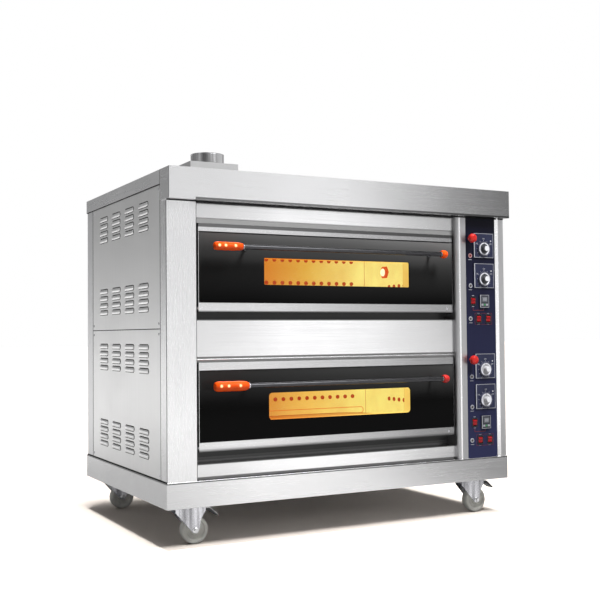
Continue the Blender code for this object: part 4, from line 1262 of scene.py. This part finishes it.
def pedal_plate(corner):
    """The bright pressed edge along the top of a brake pedal."""
    a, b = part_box(f"brake_pedal_{corner}")
    top = b.z
    outline = [
        (a.x + 0.0006, top + 0.0001), (a.x + 0.014, top + 0.0001), (a.x + 0.02, top - 0.0029),
        (b.x, top - 0.0259), (b.x, top - 0.0244), (a.x + 0.0206, top - 0.0012), (a.x + 0.0142, top + 0.0014),
        (a.x + 0.0006, top + 0.0014),
    ]
    bm = bmesh.new()
    slab(bm, outline, "y", a.y + 0.001, b.y - 0.001)
    piece(f"pedal_edge_{corner}", bm, MAT["bright"], f"pedal_{corner}")


# ---------------------------------------------------------------- flue and back


def flue_collar():
    """A smooth skin round the pipe, with a rolled rim and a welded foot."""
    a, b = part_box("flue")
    centre = Vector(((a.x + b.x) / 2, (a.y + b.y) / 2, 0))
    points = [v.co for v in frame["nodes"]["flue"].data.vertices if v.co.z > b.z - 0.0005]
    r = max(math.hypot(p.x - centre.x, p.y - centre.y) for p in points) + 0.0003
    top = b.z
    foot = min(v.co.z for v in frame["nodes"]["flue"].data.vertices if abs(v.co.z - b.z) < 0.06) + 0.0002
    profile = [
        (foot, r + 0.0018), (foot + 0.001, r + 0.0018), (foot + 0.0026, r + 0.0004),
        (top - 0.004, r + 0.0004), (top - 0.003, r + 0.001), (top - 0.001, r + 0.001), (top, r + 0.0003),
        (top, r - 0.0001), (top - 0.001, r), (foot, r),
    ]
    bm = bmesh.new()
    spun(bm, profile, "z", centre, 96)
    piece("flue_collar", bm, MAT["pipe"], "cabinet", 30)


def back_detail():
    """Rows of screws that hold the back panel."""
    a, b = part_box("back_panel")
    y = b.y
    screws = bmesh.new()
    for x in (a.x + 0.02, (a.x + b.x) / 2, b.x - 0.02):
        for z in (a.z + 0.03, (a.z + b.z) / 2, b.z - 0.09):
            spun(screws, [(0.0, 0.0), (0.0, 0.0055), (0.0012, 0.005), (0.0018, 0.003), (0.0018, 0.0)], "y",
                 Vector((x, y, z)), 20)
    piece("back_screws", screws, MAT["zinc"], "cabinet", 40)


# ---------------------------------------------------------------- stage


LENS = 58.785       # solved from the corners of the hood and the plinth
CAMERA_AT = (-1.7519, -3.33685, 0.6738)
CAMERA_TURN = (28.041, 1.837, -0.4945)      # yaw, pitch and roll in degrees


def camera():
    data = bpy.data.cameras.new("camera")
    data.sensor_width = 36.0
    data.lens = LENS
    data.shift_y = 0.00596
    yaw, pitch, roll = (math.radians(v) for v in CAMERA_TURN)
    ahead = Vector((math.sin(yaw) * math.cos(pitch), math.cos(yaw) * math.cos(pitch), math.sin(pitch)))
    right = Vector((math.cos(yaw), -math.sin(yaw), 0))
    up = right.cross(ahead)
    r = right * math.cos(roll) + up * math.sin(roll)
    u = up * math.cos(roll) - right * math.sin(roll)
    turn = Matrix((r, u, -ahead)).transposed().to_4x4()
    obj = bpy.data.objects.new("camera", data)
    obj.matrix_world = Matrix.Translation(CAMERA_AT) @ turn
    bpy.context.scene.collection.objects.link(obj)
    bpy.context.scene.camera = obj


def place_lamp(name, kind, energy, at, ahead):
    """A lamp that metal doesn't mirror."""
    data = bpy.data.lights.new(name, kind)
    data.energy = energy
    obj = bpy.data.objects.new(name, data)
    obj.location = at
    obj.rotation_euler = Vector(ahead).to_track_quat("-Z", "Y").to_euler()
    obj.visible_glossy = False
    bpy.context.scene.collection.objects.link(obj)
    return data


# What metal sees at each bearing, in degrees from the front towards +X
ROUND = (
    (-180, 0.66), (-120, 0.72), (-90, 0.7), (-62, 0.36), (-22, 0.32), (-6, 0.6), (12, 0.84), (21, 1.02),
    (25, 1.06), (30, 1.6), (34, 1.02), (37, 0.64), (42, 0.56), (60, 0.66), (90, 0.78), (125, 0.68),
    (180, 0.66),
)


BRIGHT_STRIP = 7.0      # level of the strip of light over the front, as metal sees it


def world():
    """White to the camera; a studio of light and dark panels to metal; an overhead sky to the rest."""
    made = bpy.data.worlds.new("studio")
    bpy.context.scene.world = made
    made.use_nodes = True
    tree = made.node_tree
    tree.nodes.clear()
    s = Shader.over(tree)
    where = s.add("ShaderNodeTexCoord").outputs["Generated"]
    parts = s.add("ShaderNodeSeparateXYZ", {0: where}).outputs
    turn = s.math("ARCTAN2", parts[0], s.math("MULTIPLY", parts[1], -1.0))
    level = s.table(s.rise(turn, -math.pi, math.pi), ROUND, -180, 180)
    level = s.times(level, s.spread(parts[2], 1.0, 0.8, 0.0, 0.11))
    back = s.add("ShaderNodeVectorMath", {0: where, 1: Vector((-0.31, 0.95, 0.0))}, operation="DOT_PRODUCT")
    dim = s.times(s.rise(back.outputs["Value"], 0.85, 0.95), s.spread(parts[2], 0.0, 0.46, 0.01, 0.115))
    level = s.times(level, s.math("SUBTRACT", 1.0, dim))
    level = s.math("ADD", level, s.spread(parts[2], 0.0, 0.55, 0.55, 0.95))
    bright = s.times(
        s.rise(parts[2], 0.5, 0.53), s.fall(parts[2], 0.76, 0.79), s.fall(parts[1], -0.5, -0.4),
        s.rise(parts[0], 0.1, 0.2), s.fall(parts[0], 0.48, 0.55),
    )
    level = s.math("ADD", level, s.times(bright, BRIGHT_STRIP))
    rays = s.add("ShaderNodeLightPath").outputs
    metal = s.math("MAXIMUM", rays["Is Glossy Ray"], rays["Is Transmission Ray"])
    sky = s.spread(parts[2], 0.03, 0.55, 0.7, 0.98)
    strength = s.add("ShaderNodeMix", {0: metal, 2: sky, 3: level}).outputs[0]
    strength = s.add("ShaderNodeMix", {0: rays["Is Camera Ray"], 2: strength, 3: 1.0}).outputs[0]
    shade = s.add("ShaderNodeBackground", {"Color": (1, 1, 1, 1), "Strength": strength})
    out = s.add("ShaderNodeOutputWorld")
    tree.links.new(shade.outputs[0], out.inputs[0])


def floor():
    bm = bmesh.new()
    bmesh.ops.create_grid(bm, x_segments=2, y_segments=2, size=60.0)
    mesh = bpy.data.meshes.new("floor")
    bm.to_mesh(mesh)
    bm.free()
    obj = bpy.data.objects.new("floor", mesh)
    bpy.context.scene.collection.objects.link(obj)
    s = Shader("floor", Roughness=0.9, Specular_IOR_Level=0.0)
    rays = s.add("ShaderNodeLightPath").outputs
    where = s.axes()
    # Metal mirrors a floor painted darker near the oven and darkest in a patch off its front right: painted shade
    # in its reflections. Other rays that are not camera rays see a flat grey; the camera sees an even pale floor.
    near = s.times(s.rise(where[0], 0.65, 1.35), s.fall(where[1], -0.9, -0.5))
    away = s.rise(s.math("ABSOLUTE", where[1]), 1.8, 4.6)
    bounce = s.blend(away, (0.48, 0.477, 0.473, 1), (0.92, 0.915, 0.91, 1))
    bounce = s.blend(s.times(near, s.fall(away, 0.0, 0.5)), bounce, (0.12, 0.119, 0.118, 1))
    bounce = s.blend(rays["Is Glossy Ray"], (0.3, 0.297, 0.293, 1), bounce)
    seen = s.blend(rays["Is Camera Ray"], bounce, (1.12, 1.02, 0.93, 1))
    s.colour(seen)
    obj.data.materials.append(s.mat)


def lights():
    place_lamp("overhead", "SUN", 3.25, (0, 0, 0), (0.03, 0.12, -1.0)).angle = math.radians(9)
    at, target = Vector((0.9, -2.4, 3.7)), Vector((0.2, -0.4, 0.6))
    front = place_lamp("front", "AREA", 165, at, target - at)
    front.shape = "DISK"
    front.size = 1.4


camera()
world()
floor()
lights()
dress_frame()
louvres()
shade_lines()
front_beads()
for deck in DECKS:
    axis = grip(deck)
    cap(deck, axis)
    bar(deck, axis)
    door_detail(deck)
    chamber_detail(deck)
controls()
column_edges()
for corner in CORNERS:
    wheel(corner)
    swivel(corner)
    if corner.startswith("front"):
        pedal_plate(corner)
flue_collar()
back_detail()

bpy.context.scene.view_settings.view_transform = "Standard"
